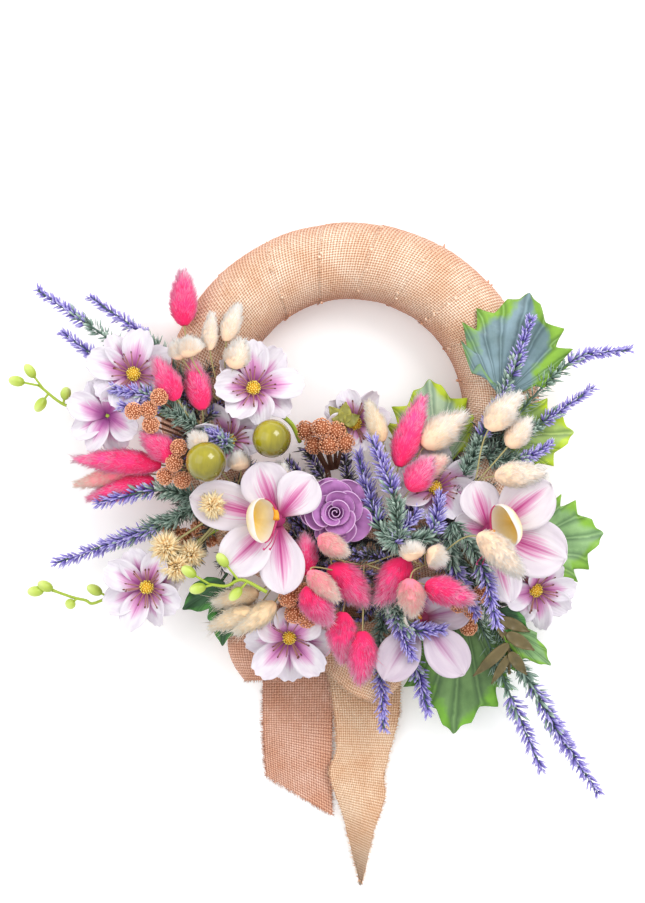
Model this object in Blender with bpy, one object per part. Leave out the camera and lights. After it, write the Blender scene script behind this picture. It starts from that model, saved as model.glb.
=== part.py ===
"""A dried flower wreath that lies on its back.

A burlap-wrapped ring carries, along its lower half, a pile of orchids, cosmos, a rose, bunny tail grass,
lavender, brunia balls, berries, buds and leaves, with a burlap bow below. The pieces are laid one after the
other, from the table up: each is lowered onto what lies there already, so none cuts into another.
"""

import math
import random

import bmesh
import bpy
import numpy as np
from mathutils import Matrix, Vector
from mathutils.bvhtree import BVHTree

# Lengths here are millimetres and angles are degrees. While modelling, x = y = 0 is the ring's middle and
# the table is z = 0. The wreath is seen from above (+Z), with the bow towards -Y.
MM = 0.001
RING_RADIUS = 100
TUBE_RADIUS = 24.4
TUBE_HEIGHT = 22
TUBE_SIDES = 8
CORE_SEGMENTS = 20
WRAP_TURNS = 16
CLOTH = 0.8
WRAP_LIFT = 2.0
WRAP_SLACK = 1.1
WRAP_LAP = 2.2
BLADE = 0.8
RIBBON_WIDTH = 49
RIBBON = 1.0
TAIL_BULGE = 1.2
STEM = 0.9
STALK = 1.2
TIE_SPACING = 3.2

# How pieces are laid: the cells of the height map, the gap left under each piece, the steps by which it
# is lowered, and how fast a strand sinks away from what holds it up.
CELL = 0.8
MAP_CORNER = (-245, -330)
MAP_CELLS = (560, 560)
GAP = 0.3
LOWERING = 0.35
MOST_LOWERINGS = 12
SCRAP = 1.0
SINKING = 0.22

# Strands: (tip, base of the head, radius). The stems of one bunch meet at its root.
LAVENDER = {
    "lavender_upper_left": (
        (-103, 10),
        [
            ((-206, 80), (-172, 57)),
            ((-171, 75), (-132, 47)),
            ((-189, 52), (-158, 30)),
        ],
    ),
    "lavender_left": (
        (-95, -58),
        [
            ((-164, -60), (-126, -51)),
            ((-194, -100), (-140, -80)),
            ((-161, -88), (-124, -76)),
        ],
    ),
    "lavender_lower_right": (
        (66, -90),
        [
            ((126, -236), (104, -185)),
            ((164, -252), (128, -196)),
            ((154, -238), (118, -178)),
        ],
    ),
    "lavender_right": (
        (88, -30),
        [
            ((182, 40), (140, 30)),
            ((158, 15), (124, -8)),
            ((130, -22), (110, -32)),
        ],
    ),
    "lavender_low_centre": (
        (24, -112),
        [
            ((22, -208), (19, -160)),
            ((51, -198), (42, -162)),
            ((40, -160), (28, -132)),
            ((60, -142), (36, -140)),
        ],
    ),
    "lavender_right_top": ((74, -42), [((117, 60), (104, 22)), ((103, 17), (84, -18))]),
    "lavender_left_mid": (
        (-100, -10),
        [
            ((-153, 14), (-126, 9)),
            ((-148, 3), (-122, 1)),
            ((-92, -13), (-80, -22)),
        ],
    ),
    "lavender_centre": (
        (31, -84),
        [
            ((14, -19), (28, -55)),
            ((5, -28), (17, -74)),
            ((43, -66), (26, -86)),
            ((58, -55), (53, -80)),
        ],
    ),
    "lavender_right_low": ((66, -72), [((94, -138), (84, -98)), ((82, -132), (66, -100))]),
}
LAVENDER_RADIUS = 4.6

TAILS = {
    "tails_pink_upper_left": (
        (-98, -12),
        [
            ((-109, 96), (-108, 54), 8.5),
            ((-128, 37), (-112, 6), 8),
            ((-104, 36), (-95, 0), 8),
        ],
    ),
    "tails_cream_upper_left": (
        (-84, 8),
        [
            ((-101, 50), (-103, 34), 8),
            ((-90, 66), (-91, 38), 5),
            ((-113, 48), (-109, 33), 6),
            ((-72, 72), (-80, 44), 6),
            ((-69, 49), (-76, 27), 8),
        ],
    ),
    "tails_pink_left": (
        (-97, -44),
        [
            ((-183, -30), (-133, -33), 7.2),
            ((-181, -46), (-146, -44), 5),
            ((-138, -12), (-113, -31), 8),
            ((-174, -58), (-133, -48), 7),
        ],
    ),
    "tails_cream_left": (
        (-74, -50),
        [
            ((-75, -25), (-71, -39), 7),
            ((-104, -13), (-95, -25), 6.5),
            ((-43, -32), (-51, -45), 6.5),
        ],
    ),
    "tails_pink_top": ((28, -66), [((49, 14), (30, -38), 8), ((54, -27), (38, -52), 8)]),
    "tails_cream_top": (
        (32, -56),
        [
            ((79, 1), (47, -25), 10),
            ((12, 5), (20, -19), 7.5),
            ((66, -29), (43, -42), 8),
        ],
    ),
    "tails_cream_right": (
        (82, -46),
        [
            ((112, 13), (88, -13), 9),
            ((118, -2), (101, -24), 7.5),
            ((129, -40), (93, -43), 8),
        ],
    ),
    "tails_cream_lower_left": (
        (-44, -104),
        [
            ((-90, -128), (-65, -119), 8),
            ((-93, -142), (-68, -129), 7.5),
            ((-76, -144), (-52, -125), 8),
        ],
    ),
    "tails_pink_centre": (
        (8, -100),
        [
            ((14, -129), (-12, -98), 8),
            ((17, -129), (34, -94), 8),
            ((-11, -141), (-27, -114), 7.5),
            ((-4, -166), (-3, -131), 7.5),
            ((5, -181), (7, -146), 7.5),
            ((83, -123), (50, -112), 7.5),
        ],
    ),
    "tails_blush": ((4, -106), [((-1, -96), (-18, -81), 8.5), ((-6, -125), (-26, -102), 7)]),
    "tails_cream_low": (
        (48, -100),
        [
            ((40, -82), (39, -96), 7.5),
            ((64, -99), (49, -92), 7.5),
            ((41, -136), (38, -107), 8.5),
            ((113, -109), (80, -81), 9),
        ],
    ),
}

# Leaves: (base, tip, half width, teeth, root of the leaf stalk).
LEAVES = {
    "leaf_blue_top_right": ((98, 10), (117, 77), 33, 9, (92, -14)),
    "leaf_yellow_right": ((98, -16), (146, -14), 22, 7, (84, -22)),
    "leaf_green_right": ((112, -88), (166, -80), 26, 9, (92, -70)),
    "leaf_green_lower_right": ((74, -128), (68, -212), 34, 11, (62, -100)),
    "leaf_green_top": ((56, -38), (52, 21), 28, 9, (58, -58)),
}
LOWER_LEFT_LEAVES = [((-82, -112), (-110, -130), 10), ((-80, -116), (-84, -154), 11)]
LOWER_LEFT_LEAF_ROOT = (-70, -92)
SPRIG_STEM = [(104, -172), (100, -140), (72, -90)]
SPRIG_LEAVES = [
    ((99, -128), (116, -143), 8),
    ((107, -138), (131, -166), 9),
    ((100, -140), (119, -141), 5),
    ((100, -147), (118, -157), 5),
    ((99, -152), (86, -163), 5),
    ((102, -160), (112, -172), 5),
    ((102, -164), (93, -174), 5),
]
TOP_SPRIG = [((-4, -8), (-14, 3), 4), ((-4, -8), (-3, 6), 4), ((-4, -8), (6, -3), 4)]

# Blooms: (middle, reach of the petals, lean, side it leans to, root of the stem or None).
COSMOS = {
    "cosmos_left": ((-133, -115), 31, 8, 200, (-84, -72)),
    "cosmos_right": ((116, -112), 27, 15, -40, (80, -76)),
    "cosmos_low": ((-40, -148), 31, 12, -90, (-34, -108)),
    "cosmos_top": ((3, -8), 24, 8, 60, None),
    "cosmos_mid_left": ((-79, -19), 26, 6, 120, None),
    "cosmos_upper_mid": ((-63, 15), 32, 14, 50, None),
    "cosmos_centre": ((55, -50), 30, 14, 70, None),
}
TWIN_COSMOS = [((-141, 24), 31, 8, 120), ((-158, -3), 28, 8, 200)]
TWIN_ROOT = (-104, 2)
COSMOS_PETALS = 8
PETAL_STEP = 0.9
CALYX_TOP = 3
HUB_LIFT = 3
TWIN_STEP = 7
DOME_RADIUS = 4.4
ANTHER = 0.9

# Orchids: middle, then the petals (direction, length, half width), then the way the lip opens.
ORCHIDS = {
    "orchid_left": (
        (-47, -70),
        [
            (110, 39, 16),
            (51, 36, 15),
            (-85, 49, 15),
            (-136, 48, 16),
            (166, 59, 16),
        ],
        180,
        None,
    ),
    "orchid_right": (
        (90, -78),
        [
            (108, 34, 13),
            (35, 50, 18),
            (-34, 54, 20),
            (-76, 48, 12),
            (175, 24, 12),
        ],
        20,
        None,
    ),
    "orchid_low": (
        (46, -138),
        [
            (-128, 52, 15),
            (-62, 50, 15),
            (40, 34, 13),
            (140, 26, 12),
            (-8, 30, 12),
        ],
        200,
        (40, -104),
    ),
}

# Neighbouring petals spring from the hub at different levels, so that they pass over each other.
ORCHID_LEVELS = [-1, 1, -1, 1, -3]

# The rose's middle, then its whorls of petals from the heart out: (petals, height of their roots, reach,
# height of their rims, turn).
ROSE = (-10, -66)
ROSE_WHORLS = [(3, 9, 8, 15, 10), (4, 4, 15, 11, 40), (5, -0.5, 23, 6, 0)]
BERRIES = {"berry_left": ((-93, -33), 13), "berry_right": ((-51, -18), 12.5)}
BRUNIA = {
    "brunia_left": (
        (-98, -22),
        [
            (-140, 0),
            (-130, 1),
            (-123, 9),
            (-129, -9),
            (-111, -24),
            (-114, -34),
            (-120, -43),
            (-109, -45),
        ],
    ),
    "brunia_top": (
        (-12, -38),
        [
            (-30, -13),
            (-19, -11),
            (-9, -13),
            (-24, -22),
            (-14, -22),
            (-3, -21),
        ],
    ),
    "brunia_low": (
        (-30, -112),
        [
            (-41, -121),
            (-31, -118),
            (-22, -125),
            (-37, -132),
            (-28, -135),
        ],
    ),
    "brunia_right": ((70, -106), [(70, -126), (80, -131), (77, -141), (85, -119)]),
}
BRUNIA_RADIUS = 4.6
STRAW_ROOT = (-84, -68)
STRAW_HEADS = [((-122, -86), 7), ((-113, -101), 7), ((-101, -96), 6), ((-90, -62), 6)]
BUDS = {
    "buds_upper_left": (
        [(-205, 17), (-187, 4), (-168, 3), (-112, -4)],
        [
            ((-225, 21), 0),
            ((-214, 31), 0.06),
            ((-186, 16), 0.22),
            ((-207, 0), 0.1),
        ],
    ),
    "buds_lower_left": (
        [(-197, -118), (-176, -124), (-159, -122), (-82, -74)],
        [
            ((-213, -119), 0),
            ((-206, -113), 0.05),
            ((-187, -129), 0.14),
            ((-173, -115), 0.3),
        ],
    ),
    "buds_middle": (
        [(-91, -112), (-80, -113), (-70, -109), (-54, -117)],
        [
            ((-109, -101), 0),
            ((-104, -116), 0.1),
            ((-86, -92), 0.5),
            ((-78, -122), 0.7),
        ],
    ),
}

# Colours and roughness of the finishes.
FINISHES = {
    "foam": ("E8E2D2", 0.9),
    "burlap": ("D9AE86", 0.95),
    "leaf_blue": ("86A5A0", 0.55),
    "leaf_green": ("6E9E3A", 0.5),
    "leaf_yellow": ("A9C83C", 0.5),
    "leaf_dark": ("3F5A2E", 0.5),
    "lavender": ("7B78C8", 0.8),
    "pink_tail": ("F0307E", 0.9),
    "cream_tail": ("F2DCC0", 0.9),
    "blush_tail": ("F0B0A8", 0.9),
    "orchid_petal": ("F4E6EE", 0.5),
    "orchid_lip": ("F3DF9A", 0.45),
    "cosmos_petal": ("F1DCE8", 0.6),
    "cosmos_centre": ("E8C21A", 0.8),
    "rose_petal": ("B078C8", 0.7),
    "berry": ("9AA322", 0.15),
    "brunia": ("B9744A", 0.9),
    "straw": ("EBC98E", 0.85),
    "bud": ("A6D048", 0.5),
}

top = np.zeros(MAP_CELLS)
laid = []
wreath = None
draw = random.Random(7)


def clear_scene():
    for old in list(bpy.data.objects):
        bpy.data.objects.remove(old)


def linear(channel):
    """A channel of a screen colour as the linear value that a shader takes."""
    if channel <= 0.04045:
        return channel / 12.92
    return ((channel + 0.055) / 1.055) ** 2.4


def finish(name):
    if name in bpy.data.materials:
        return bpy.data.materials[name]
    colour, roughness = FINISHES[name]
    material = bpy.data.materials.new(name)
    material.use_nodes = True
    shader = material.node_tree.nodes["Principled BSDF"]
    rgb = [linear(int(colour[i : i + 2], 16) / 255) for i in (0, 2, 4)]
    shader.inputs["Base Color"].default_value = (*rgb, 1)
    shader.inputs["Roughness"].default_value = roughness
    shader.inputs["Metallic"].default_value = 0
    return material


def turned(degrees):
    return Vector((math.cos(math.radians(degrees)), math.sin(math.radians(degrees)), 0))


def curve_through(points, step=2.0):
    """Points about a step apart on a smooth curve through the given ones."""
    given = [np.array(point, float) for point in points]
    given = [2 * given[0] - given[1]] + given + [2 * given[-1] - given[-2]]
    line = []
    for a, b, c, d in zip(given, given[1:], given[2:], given[3:]):
        count = max(2, int(np.linalg.norm(c - b) / step))
        for t in np.arange(count) / count:
            bend = (2 * a - 5 * b + 4 * c - d) * t**2 + (3 * b - a - 3 * c + d) * t**3
            line.append((2 * b + (c - a) * t + bend) / 2)
    line.append(given[-2])
    return np.array(line)


def cells(points):
    index = ((points[:, :2] - MAP_CORNER) / CELL).astype(int)
    return index[:, 0].clip(1, MAP_CELLS[0] - 2), index[:, 1].clip(1, MAP_CELLS[1] - 2)


def resting_line(route, radii, root_height=0):
    """The route with heights, so that a strand of these radii lies on what is there already."""
    need = []
    for (x, y), radius in zip(route, radii):
        reach = radius + CELL
        i, j = cells(np.array([[x, y]]))
        n = int(reach / CELL) + 1
        offsets = np.mgrid[-n : n + 1, -n : n + 1] * CELL
        away = (offsets**2).sum(axis=0)
        window = top[
            (i + np.arange(-n, n + 1)[:, None]).clip(0, MAP_CELLS[0] - 1),
            (j + np.arange(-n, n + 1)[None, :]).clip(0, MAP_CELLS[1] - 1),
        ]
        under = away <= reach**2
        need.append((window[under] + np.sqrt(reach**2 - away[under])).max())
    need[-1] = max(need[-1], root_height)
    steps = np.linalg.norm(np.diff(route, axis=0), axis=1)
    along = np.concatenate([[0], np.cumsum(steps)])
    sunk = np.abs(along[:, None] - along[None, :]) * SINKING
    heights = (np.array(need)[None, :] - sunk).max(axis=1)
    return [Vector((x, y, z)) for (x, y), z in zip(route, heights)], along / along[-1]


def meeting_lines(routes, radii):
    """The resting lines of a bunch, whose last points all meet at one height."""
    meeting = max(resting_line(route, sizes)[0][-1].z for route, sizes in zip(routes, radii))
    return [resting_line(route, sizes, meeting) for route, sizes in zip(routes, radii)]


def loft(rings, tip_fan=True):
    """A closed mesh over rings of equally many points, its ends closed by fans."""
    bm = bmesh.new()
    loops = [[bm.verts.new(point) for point in ring] for ring in rings]
    bands = []
    for low, high in zip(loops, loops[1:]):
        pairs = list(zip(low, low[1:] + low[:1], high[1:] + high[:1], high))
        bands.append([bm.faces.new(corners) for corners in pairs])
    ends = [bm.faces.new(loops[0][::-1]), bm.faces.new(loops[-1])]
    if tip_fan:
        bmesh.ops.poke(bm, faces=ends)
    return bm, bands


def closed_out(bm):
    bmesh.ops.recalc_face_normals(bm, faces=bm.faces[:])
    return bm


def strand(line, shares, stations, sides):
    """A closed round strand along a line. Each station is (share of the length, radius, poke after it)."""
    rings = []
    for share, radius, _ in stations:
        k = min(int(np.searchsorted(shares, share)), len(line) - 1)
        before, after = line[max(k - 1, 0)], line[min(k + 1, len(line) - 1)]
        ahead = (after - before).normalized()
        side = ahead.cross(Vector((0, 0, 1))).normalized()
        up = side.cross(ahead)
        turns = [math.tau * (i + 0.5) / sides for i in range(sides)]
        rings.append([line[k] + (side * math.cos(a) + up * math.sin(a)) * radius for a in turns])
    bm, bands = loft(rings)
    bm.normal_update()
    for band, (share, _, poke) in zip(bands, stations):
        if not poke:
            continue
        k = min(int(np.searchsorted(shares, share)), len(line) - 2)
        forward = (line[k] - line[k + 1]).normalized()
        sign = 1 if band[0].normal.dot(band[0].calc_center_median() - line[k]) > 0 else -1
        made = bmesh.ops.poke(bm, faces=band, offset=poke * sign)
        for vert in made["verts"]:
            vert.co += forward * poke * 0.9
    return closed_out(bm)


def blade(rows, thickness=BLADE):
    """A thin closed blade over rows of points; a row of one point is an end. Both faces split alike."""
    width = max(len(row) for row in rows)
    grid = np.array([[tuple(p) for p in (row if len(row) == width else row * width)] for row in rows])
    along = np.gradient(grid, axis=0)
    flat_rows = [i for i, row in enumerate(rows) if len(row) > 1]
    across = np.gradient(grid, axis=1)
    for i in range(len(rows)):
        if i not in flat_rows:
            across[i] = across[flat_rows[0] if i < flat_rows[0] else flat_rows[-1]]
    normal = np.cross(along, across)
    normal /= np.linalg.norm(normal, axis=2, keepdims=True) + 1e-9
    for i in range(len(rows)):
        if i not in flat_rows:
            normal[i] = normal[i].mean(axis=0) / np.linalg.norm(normal[i].mean(axis=0))
    bm = bmesh.new()
    faces = []
    for side in (1, -1):
        points = grid + normal * thickness / 2 * side
        made = []
        for row, spots in zip(rows, points):
            if len(row) > 1:
                made.append([bm.verts.new(spot) for spot in spots])
            else:
                made.append([bm.verts.new(spots[0])] * width)
        faces.append(made)
    upper, lower = faces

    def triangle(a, b, c):
        if len({a, b, c}) == 3:
            bm.faces.new((a, b, c))

    for i in range(len(rows) - 1):
        for j in range(width - 1):
            for face in (upper, lower):
                a, b, c, d = face[i][j], face[i + 1][j], face[i + 1][j + 1], face[i][j + 1]
                triangle(a, b, c)
                triangle(a, c, d)
        for j in (0, width - 1):
            a, b, c, d = upper[i][j], upper[i + 1][j], lower[i + 1][j], lower[i][j]
            triangle(a, b, c)
            triangle(a, c, d)
    for i in (0, len(rows) - 1):
        if len(rows[i]) > 1:
            for j in range(width - 1):
                a, b, c, d = upper[i][j], upper[i][j + 1], lower[i][j + 1], lower[i][j]
                triangle(a, b, c)
                triangle(a, c, d)
    return closed_out(bm)


def moved(solids, matrix):
    for bm in solids:
        bmesh.ops.transform(bm, matrix=matrix, verts=bm.verts[:])
    return solids


def skin(solids):
    """The triangles of the solids together, as points and faces."""
    points, faces = [], []
    for bm in solids:
        start = len(points)
        bm.verts.index_update()
        points += [vert.co.copy() for vert in bm.verts]
        for loops in bm.calc_loop_triangles():
            faces.append([start + loop.vert.index for loop in loops])
    return np.array([tuple(p) for p in points]), np.array(faces)


def spread(points, faces):
    """Points less than a cell apart all over the triangles."""
    found = []
    corners = points[faces]
    sides = np.linalg.norm(corners - np.roll(corners, 1, axis=1), axis=2).max(axis=1)
    for count in np.unique(np.ceil(sides / CELL).astype(int)):
        chosen = corners[np.ceil(sides / CELL).astype(int) == count]
        for i in range(count + 1):
            for j in range(count + 1 - i):
                u, v = i / count, j / count
                found.append(chosen[:, 0] * (1 - u - v) + chosen[:, 1] * u + chosen[:, 2] * v)
    return np.concatenate(found)


def crosses(points, faces):
    """Whether these triangles cut into a piece that is laid already."""
    tree = BVHTree.FromPolygons([tuple(p) for p in points], [tuple(f) for f in faces])
    low, high = points.min(axis=0), points.max(axis=0)
    return any(
        (low <= other_high).all() and (high >= other_low).all() and tree.overlap(other)
        for other, other_low, other_high in laid
    )


def keep(points, faces):
    """Adds a laid piece to the height map and to the pieces that later ones must clear."""
    seen = spread(points, faces)
    np.maximum.at(top, cells(seen), seen[:, 2])
    tree = BVHTree.FromPolygons([tuple(p) for p in points], [tuple(f) for f in faces])
    laid.append((tree, points.min(axis=0), points.max(axis=0)))


def settle(solids):
    """Lowers a piece from above until it rests, a gap clear, on the pieces that are laid already."""
    points, faces = skin(solids)
    seen = spread(points, faces)
    around = np.max([np.roll(top, (i, j), (0, 1)) for i in (-1, 0, 1) for j in (-1, 0, 1)], axis=0)
    drop = (around[cells(seen)] - seen[:, 2]).max() + GAP
    points[:, 2] += drop
    while crosses(points, faces):
        points[:, 2] += LOWERING
        drop += LOWERING
    for _ in range(MOST_LOWERINGS):
        lower = points - (0, 0, LOWERING)
        if lower[:, 2].min() < GAP or crosses(lower, faces):
            break
        points, drop = lower, drop - LOWERING
    points[:, 2] += GAP
    keep(points, faces)
    return moved(solids, Matrix.Translation((0, 0, drop + GAP)))


def as_object(name, bm, material):
    mesh = bpy.data.meshes.new(name)
    bm.to_mesh(mesh)
    bm.free()
    mesh.materials.append(material)
    return bpy.data.objects.new(name, mesh)


def drop_scraps(mesh):
    """Deletes the loose slivers that a union can leave, and fills the hollows that it seals."""
    bm = bmesh.new()
    bm.from_mesh(mesh)
    bmesh.ops.triangulate(bm, faces=bm.faces[:])
    unseen = set(bm.verts)
    while unseen:
        island, edge = set(), {unseen.pop()}
        while edge:
            island |= edge
            edge = {e.other_vert(v) for v in edge for e in v.link_edges} - island
        unseen -= island
        faces = {f for v in island for f in v.link_faces}
        corners = [[v.co for v in f.verts] for f in faces]
        volume = sum(a.dot(b.cross(c)) for a, b, c in corners) / 6
        if volume < SCRAP * MM**3:
            bmesh.ops.delete(bm, geom=list(island), context="VERTS")
    bm.to_mesh(mesh)
    bm.free()


def add_node(name, solids, finish_name):
    """Joins the solids in one object, its origin in its middle, and hangs it on the wreath."""
    points, _ = skin(solids)
    middle = Vector((points.min(axis=0) + points.max(axis=0)) / 2)
    moved(solids, Matrix.Scale(MM, 4) @ Matrix.Translation(-middle))
    material = finish(finish_name)
    node = as_object(name, solids[0], material)
    bpy.context.scene.collection.objects.link(node)
    if len(solids) > 1:
        others = bpy.data.collections.new(name + "_repeats")
        bpy.context.scene.collection.children.link(others)
        for i, bm in enumerate(solids[1:]):
            others.objects.link(as_object(f"{name}_{i}", bm, material))
        union = node.modifiers.new("union", "BOOLEAN")
        union.operation = "UNION"
        union.operand_type = "COLLECTION"
        union.collection = others
        # Dozens of small repeats in each piece make the exact solver slow.
        union.solver = "MANIFOLD"
        graph = bpy.context.evaluated_depsgraph_get()
        joined = bpy.data.meshes.new_from_object(node.evaluated_get(graph))
        node.modifiers.clear()
        node.data = joined
        drop_scraps(joined)
        for other in list(others.objects):
            bpy.data.objects.remove(other)
        bpy.data.collections.remove(others)
    node.parent = wreath
    node.location = middle * MM
    return node


def lay(name, solids, finish_name):
    return add_node(name, settle(solids), finish_name)


# Ring

def ring_point(turn, around, offset):
    """A point at a turn round the ring and an angle round its tube, so far out from the core."""
    core_radius = TUBE_RADIUS - WRAP_SLACK - WRAP_LIFT - CLOTH
    deepest = TUBE_RADIUS - core_radius
    radius = core_radius + offset
    out = RING_RADIUS + radius * math.cos(math.radians(around))
    height = max(TUBE_HEIGHT + radius * math.sin(math.radians(around)), deepest - offset)
    return turned(turn) * out + Vector((0, 0, height))


def tube_angle(k):
    """The angle of a corner of the tube's section; two corners hold its flat back."""
    return -90 + 360 / TUBE_SIDES * (k + 0.5)


def ring_core():
    bm = bmesh.new()
    section = [bm.verts.new(ring_point(0, tube_angle(k), 0)) for k in range(TUBE_SIDES)]
    edges = [bm.edges.new(pair) for pair in zip(section, section[1:] + section[:1])]
    bmesh.ops.spin(
        bm, geom=section + edges, axis=(0, 0, 1), cent=(0, 0, 0), angle=math.tau,
        steps=CORE_SEGMENTS, use_merge=True,
    )
    bmesh.ops.remove_doubles(bm, verts=bm.verts[:], dist=0.01)
    return [closed_out(bm)]


def ring_wrap():
    """One strip wound round the core. Each turn starts on the core and laps over the next one's edge."""
    pitch = 360 / WRAP_TURNS
    lifted = WRAP_SLACK + WRAP_LIFT
    edge_and_offset = [(0, WRAP_SLACK), (pitch / 2, lifted), (pitch + WRAP_LAP, lifted)]
    rings = []
    for k in range(WRAP_TURNS * TUBE_SIDES + 1):
        start = pitch * k / TUBE_SIDES
        under = [ring_point(start + a, tube_angle(k), offset) for a, offset in edge_and_offset]
        over = [ring_point(start + a, tube_angle(k), offset + CLOTH) for a, offset in edge_and_offset]
        rings.append(under + over[::-1])
    # The strip's end stops just short of its beginning.
    rings[-1] = [a.lerp(b, 0.92) for a, b in zip(rings[-2], rings[-1])]
    bm, _ = loft(rings, tip_fan=False)
    return [closed_out(bm)]


# Bow

# Loops: the way each one leaves the knot, then (distance out, height). Tails: (y, left edge, right edge,
# height). The left tail is cut off aslant and the right one ends in a point.
LOOP_MIDDLE = (-18, -152)
LOOP_PATHS = {
    "left": (180, [(4, 0), (30, -2), (52, -1), (62, 5), (60, 13), (44, 17), (22, 15), (4, 12)]),
    "right": (-38, [(4, 1), (30, 0), (48, 0), (58, 7), (55, 17), (40, 21), (20, 17), (4, 12)]),
}
TAIL_ROWS = {
    "left": [
        (-128, -50, -8, 2),
        (-160, -57, -10, 1),
        (-190, -58, -11, 0),
        (-215, -58, -11.5, 2),
        (-238, -57, -12, 0),
    ],
    "right": [
        (-128, -28, 12, 6),
        (-160, -16, 30, 5),
        (-198, -13, 34, 4),
        (-225, -14, 28, 6),
        (-250, -13, 24, 4),
        (-280, -4, 16, 6),
    ],
}
LEFT_TAIL_END = [(-56, -245), (-35, -255), (-13, -264)]
RIGHT_TAIL_END = (7, -313)


def strip_loop(side):
    """A loop of ribbon that leaves the knot, folds and comes back above itself."""
    heading, path = LOOP_PATHS[side]
    ahead, across = turned(heading), turned(heading + 90)
    middle = Vector((*LOOP_MIDDLE, 0))
    rows = []
    for out, height in path:
        pinch = 0.55 + 0.45 * min(out / 28, 1)
        spots = [-RIBBON_WIDTH / 2 * pinch, 0, RIBBON_WIDTH / 2 * pinch]
        rows.append([middle + ahead * out + across * s + Vector((0, 0, height + 4)) for s in spots])
    return blade(rows, RIBBON)


def bow_loops():
    knot, _ = loft([
        [Vector((x, y, z)) for x, z in ((-29, 2), (-7, 2), (-6, 12), (-12, 20), (-24, 20), (-30, 12))]
        for y in (-168, -152, -127)
    ])
    return [closed_out(knot), strip_loop("left"), strip_loop("right")]


def bow_tails():
    solids = []
    for side, rows in TAIL_ROWS.items():
        grid = []
        for y, left, right, height in rows:
            middle = Vector(((left + right) / 2, y, height + TAIL_BULGE))
            grid.append([Vector((left, y, height)), middle, Vector((right, y, height))])
        if side == "left":
            grid.append([Vector((x, y, 1)) for x, y in LEFT_TAIL_END])
        else:
            grid.append([Vector((*RIGHT_TAIL_END, 2))])
        solids.append(blade(grid, RIBBON))
    shank, _ = loft([
        [Vector((x, y, z)) for x, z in ((-28, 0), (-9, 0), (-9, 9), (-28, 9))] for y in (-150, -127)
    ])
    return solids + [closed_out(shank)]


# Leaves

def leaf(base, tip, half_width, teeth, droop=0.12, lift=0.0):
    """A toothed leaf, from its base to its tip, folded a little along its rib."""
    base, tip = Vector((*base, 0)), Vector((*tip, 0))
    along = tip - base
    across = Vector((-along.y, along.x, 0)).normalized()
    rows = [[base + Vector((0, 0, lift))]]
    for k in range(1, teeth + 1):
        t = k / (teeth + 1)
        width = half_width * math.sin(math.pi * t**0.72) ** 0.75
        if teeth > 3:
            width *= 1.0 if k % 2 else 0.84
        sink = Vector((0, 0, lift - droop * along.length * t**1.5))
        ridge = Vector((0, 0, -0.1 * width))
        forward = along * (0.05 if k % 2 else 0)
        middle = base + along * t + sink
        left, right = middle + across * width + forward, middle - across * width + forward
        rows.append([left, middle + ridge, right])
    rows.append([tip + Vector((0, 0, lift - droop * along.length))])
    return blade(rows)


def stalk(start, end, height_start, height_end, radius=STALK):
    a, b = Vector((*start, height_start)), Vector((*end, height_end))
    return strand([a, a.lerp(b, 0.5), b], np.array([0, 0.5, 1]), [(0, radius, 0), (1, radius, 0)], 4)


def jointed_stations(shares, joints, radius):
    """Stations for a bare stem, one at each joint, so that what branches off there meets its middle line."""
    spots = sorted({0.0, 1.0} | {round(float(shares[k]), 6) for k in joints})
    return [(spot, radius, 0) for spot in spots]


def lay_leaf(name, finish_name):
    base, tip, half_width, teeth, root = LEAVES[name]
    inner = Vector(base).lerp(Vector(tip), 0.12)
    solids = [leaf(base, tip, half_width, teeth), stalk(root, tuple(inner), 0, 0)]
    lay(name, solids, finish_name)


def lay_lower_left_leaves():
    solids = []
    for base, tip, half_width in LOWER_LEFT_LEAVES:
        solids.append(leaf(base, tip, half_width, 3, droop=0.3))
        inner = Vector(base).lerp(Vector(tip), 0.2)
        solids.append(stalk(LOWER_LEFT_LEAF_ROOT, tuple(inner), 0, -1.5))
    lay("leaves_lower_left", solids, "leaf_dark")


def lay_sprig():
    route = curve_through(SPRIG_STEM)
    line, shares = resting_line(route, np.full(len(route), 2.0))
    joints = []
    for base, _, _ in SPRIG_LEAVES:
        joints.append(int(np.argmin([(p.xy - Vector(base)).length for p in line])))
    solids = [strand(line, shares, jointed_stations(shares, joints, 1.1), 4)]
    for (_, tip, half_width), k in zip(SPRIG_LEAVES, joints):
        solids.append(leaf(tuple(line[k].xy), tip, half_width, 2, droop=0.1, lift=line[k].z))
    lay("sprig_lower_right", solids, "leaf_dark")


def lay_top_sprig():
    solids = [leaf(base, tip, half_width, 2, droop=0.1) for base, tip, half_width in TOP_SPRIG]
    solids.append(stalk((-2, -16), (-4, -7), -1, 0, 0.9))
    lay("sprig_top", solids, "leaf_dark")


# Grass tails and lavender

def tie(root, across, half_length, height):
    """The wire that binds the ends of a bunch's stems side by side."""
    middle, reach = Vector((*root, height)), Vector((*across, 0)) * half_length
    line = [middle - reach, middle, middle + reach]
    return strand(line, np.array([0, 0.5, 1]), [(0, STEM + 0.2, 0), (1, STEM + 0.2, 0)], 4)


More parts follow.
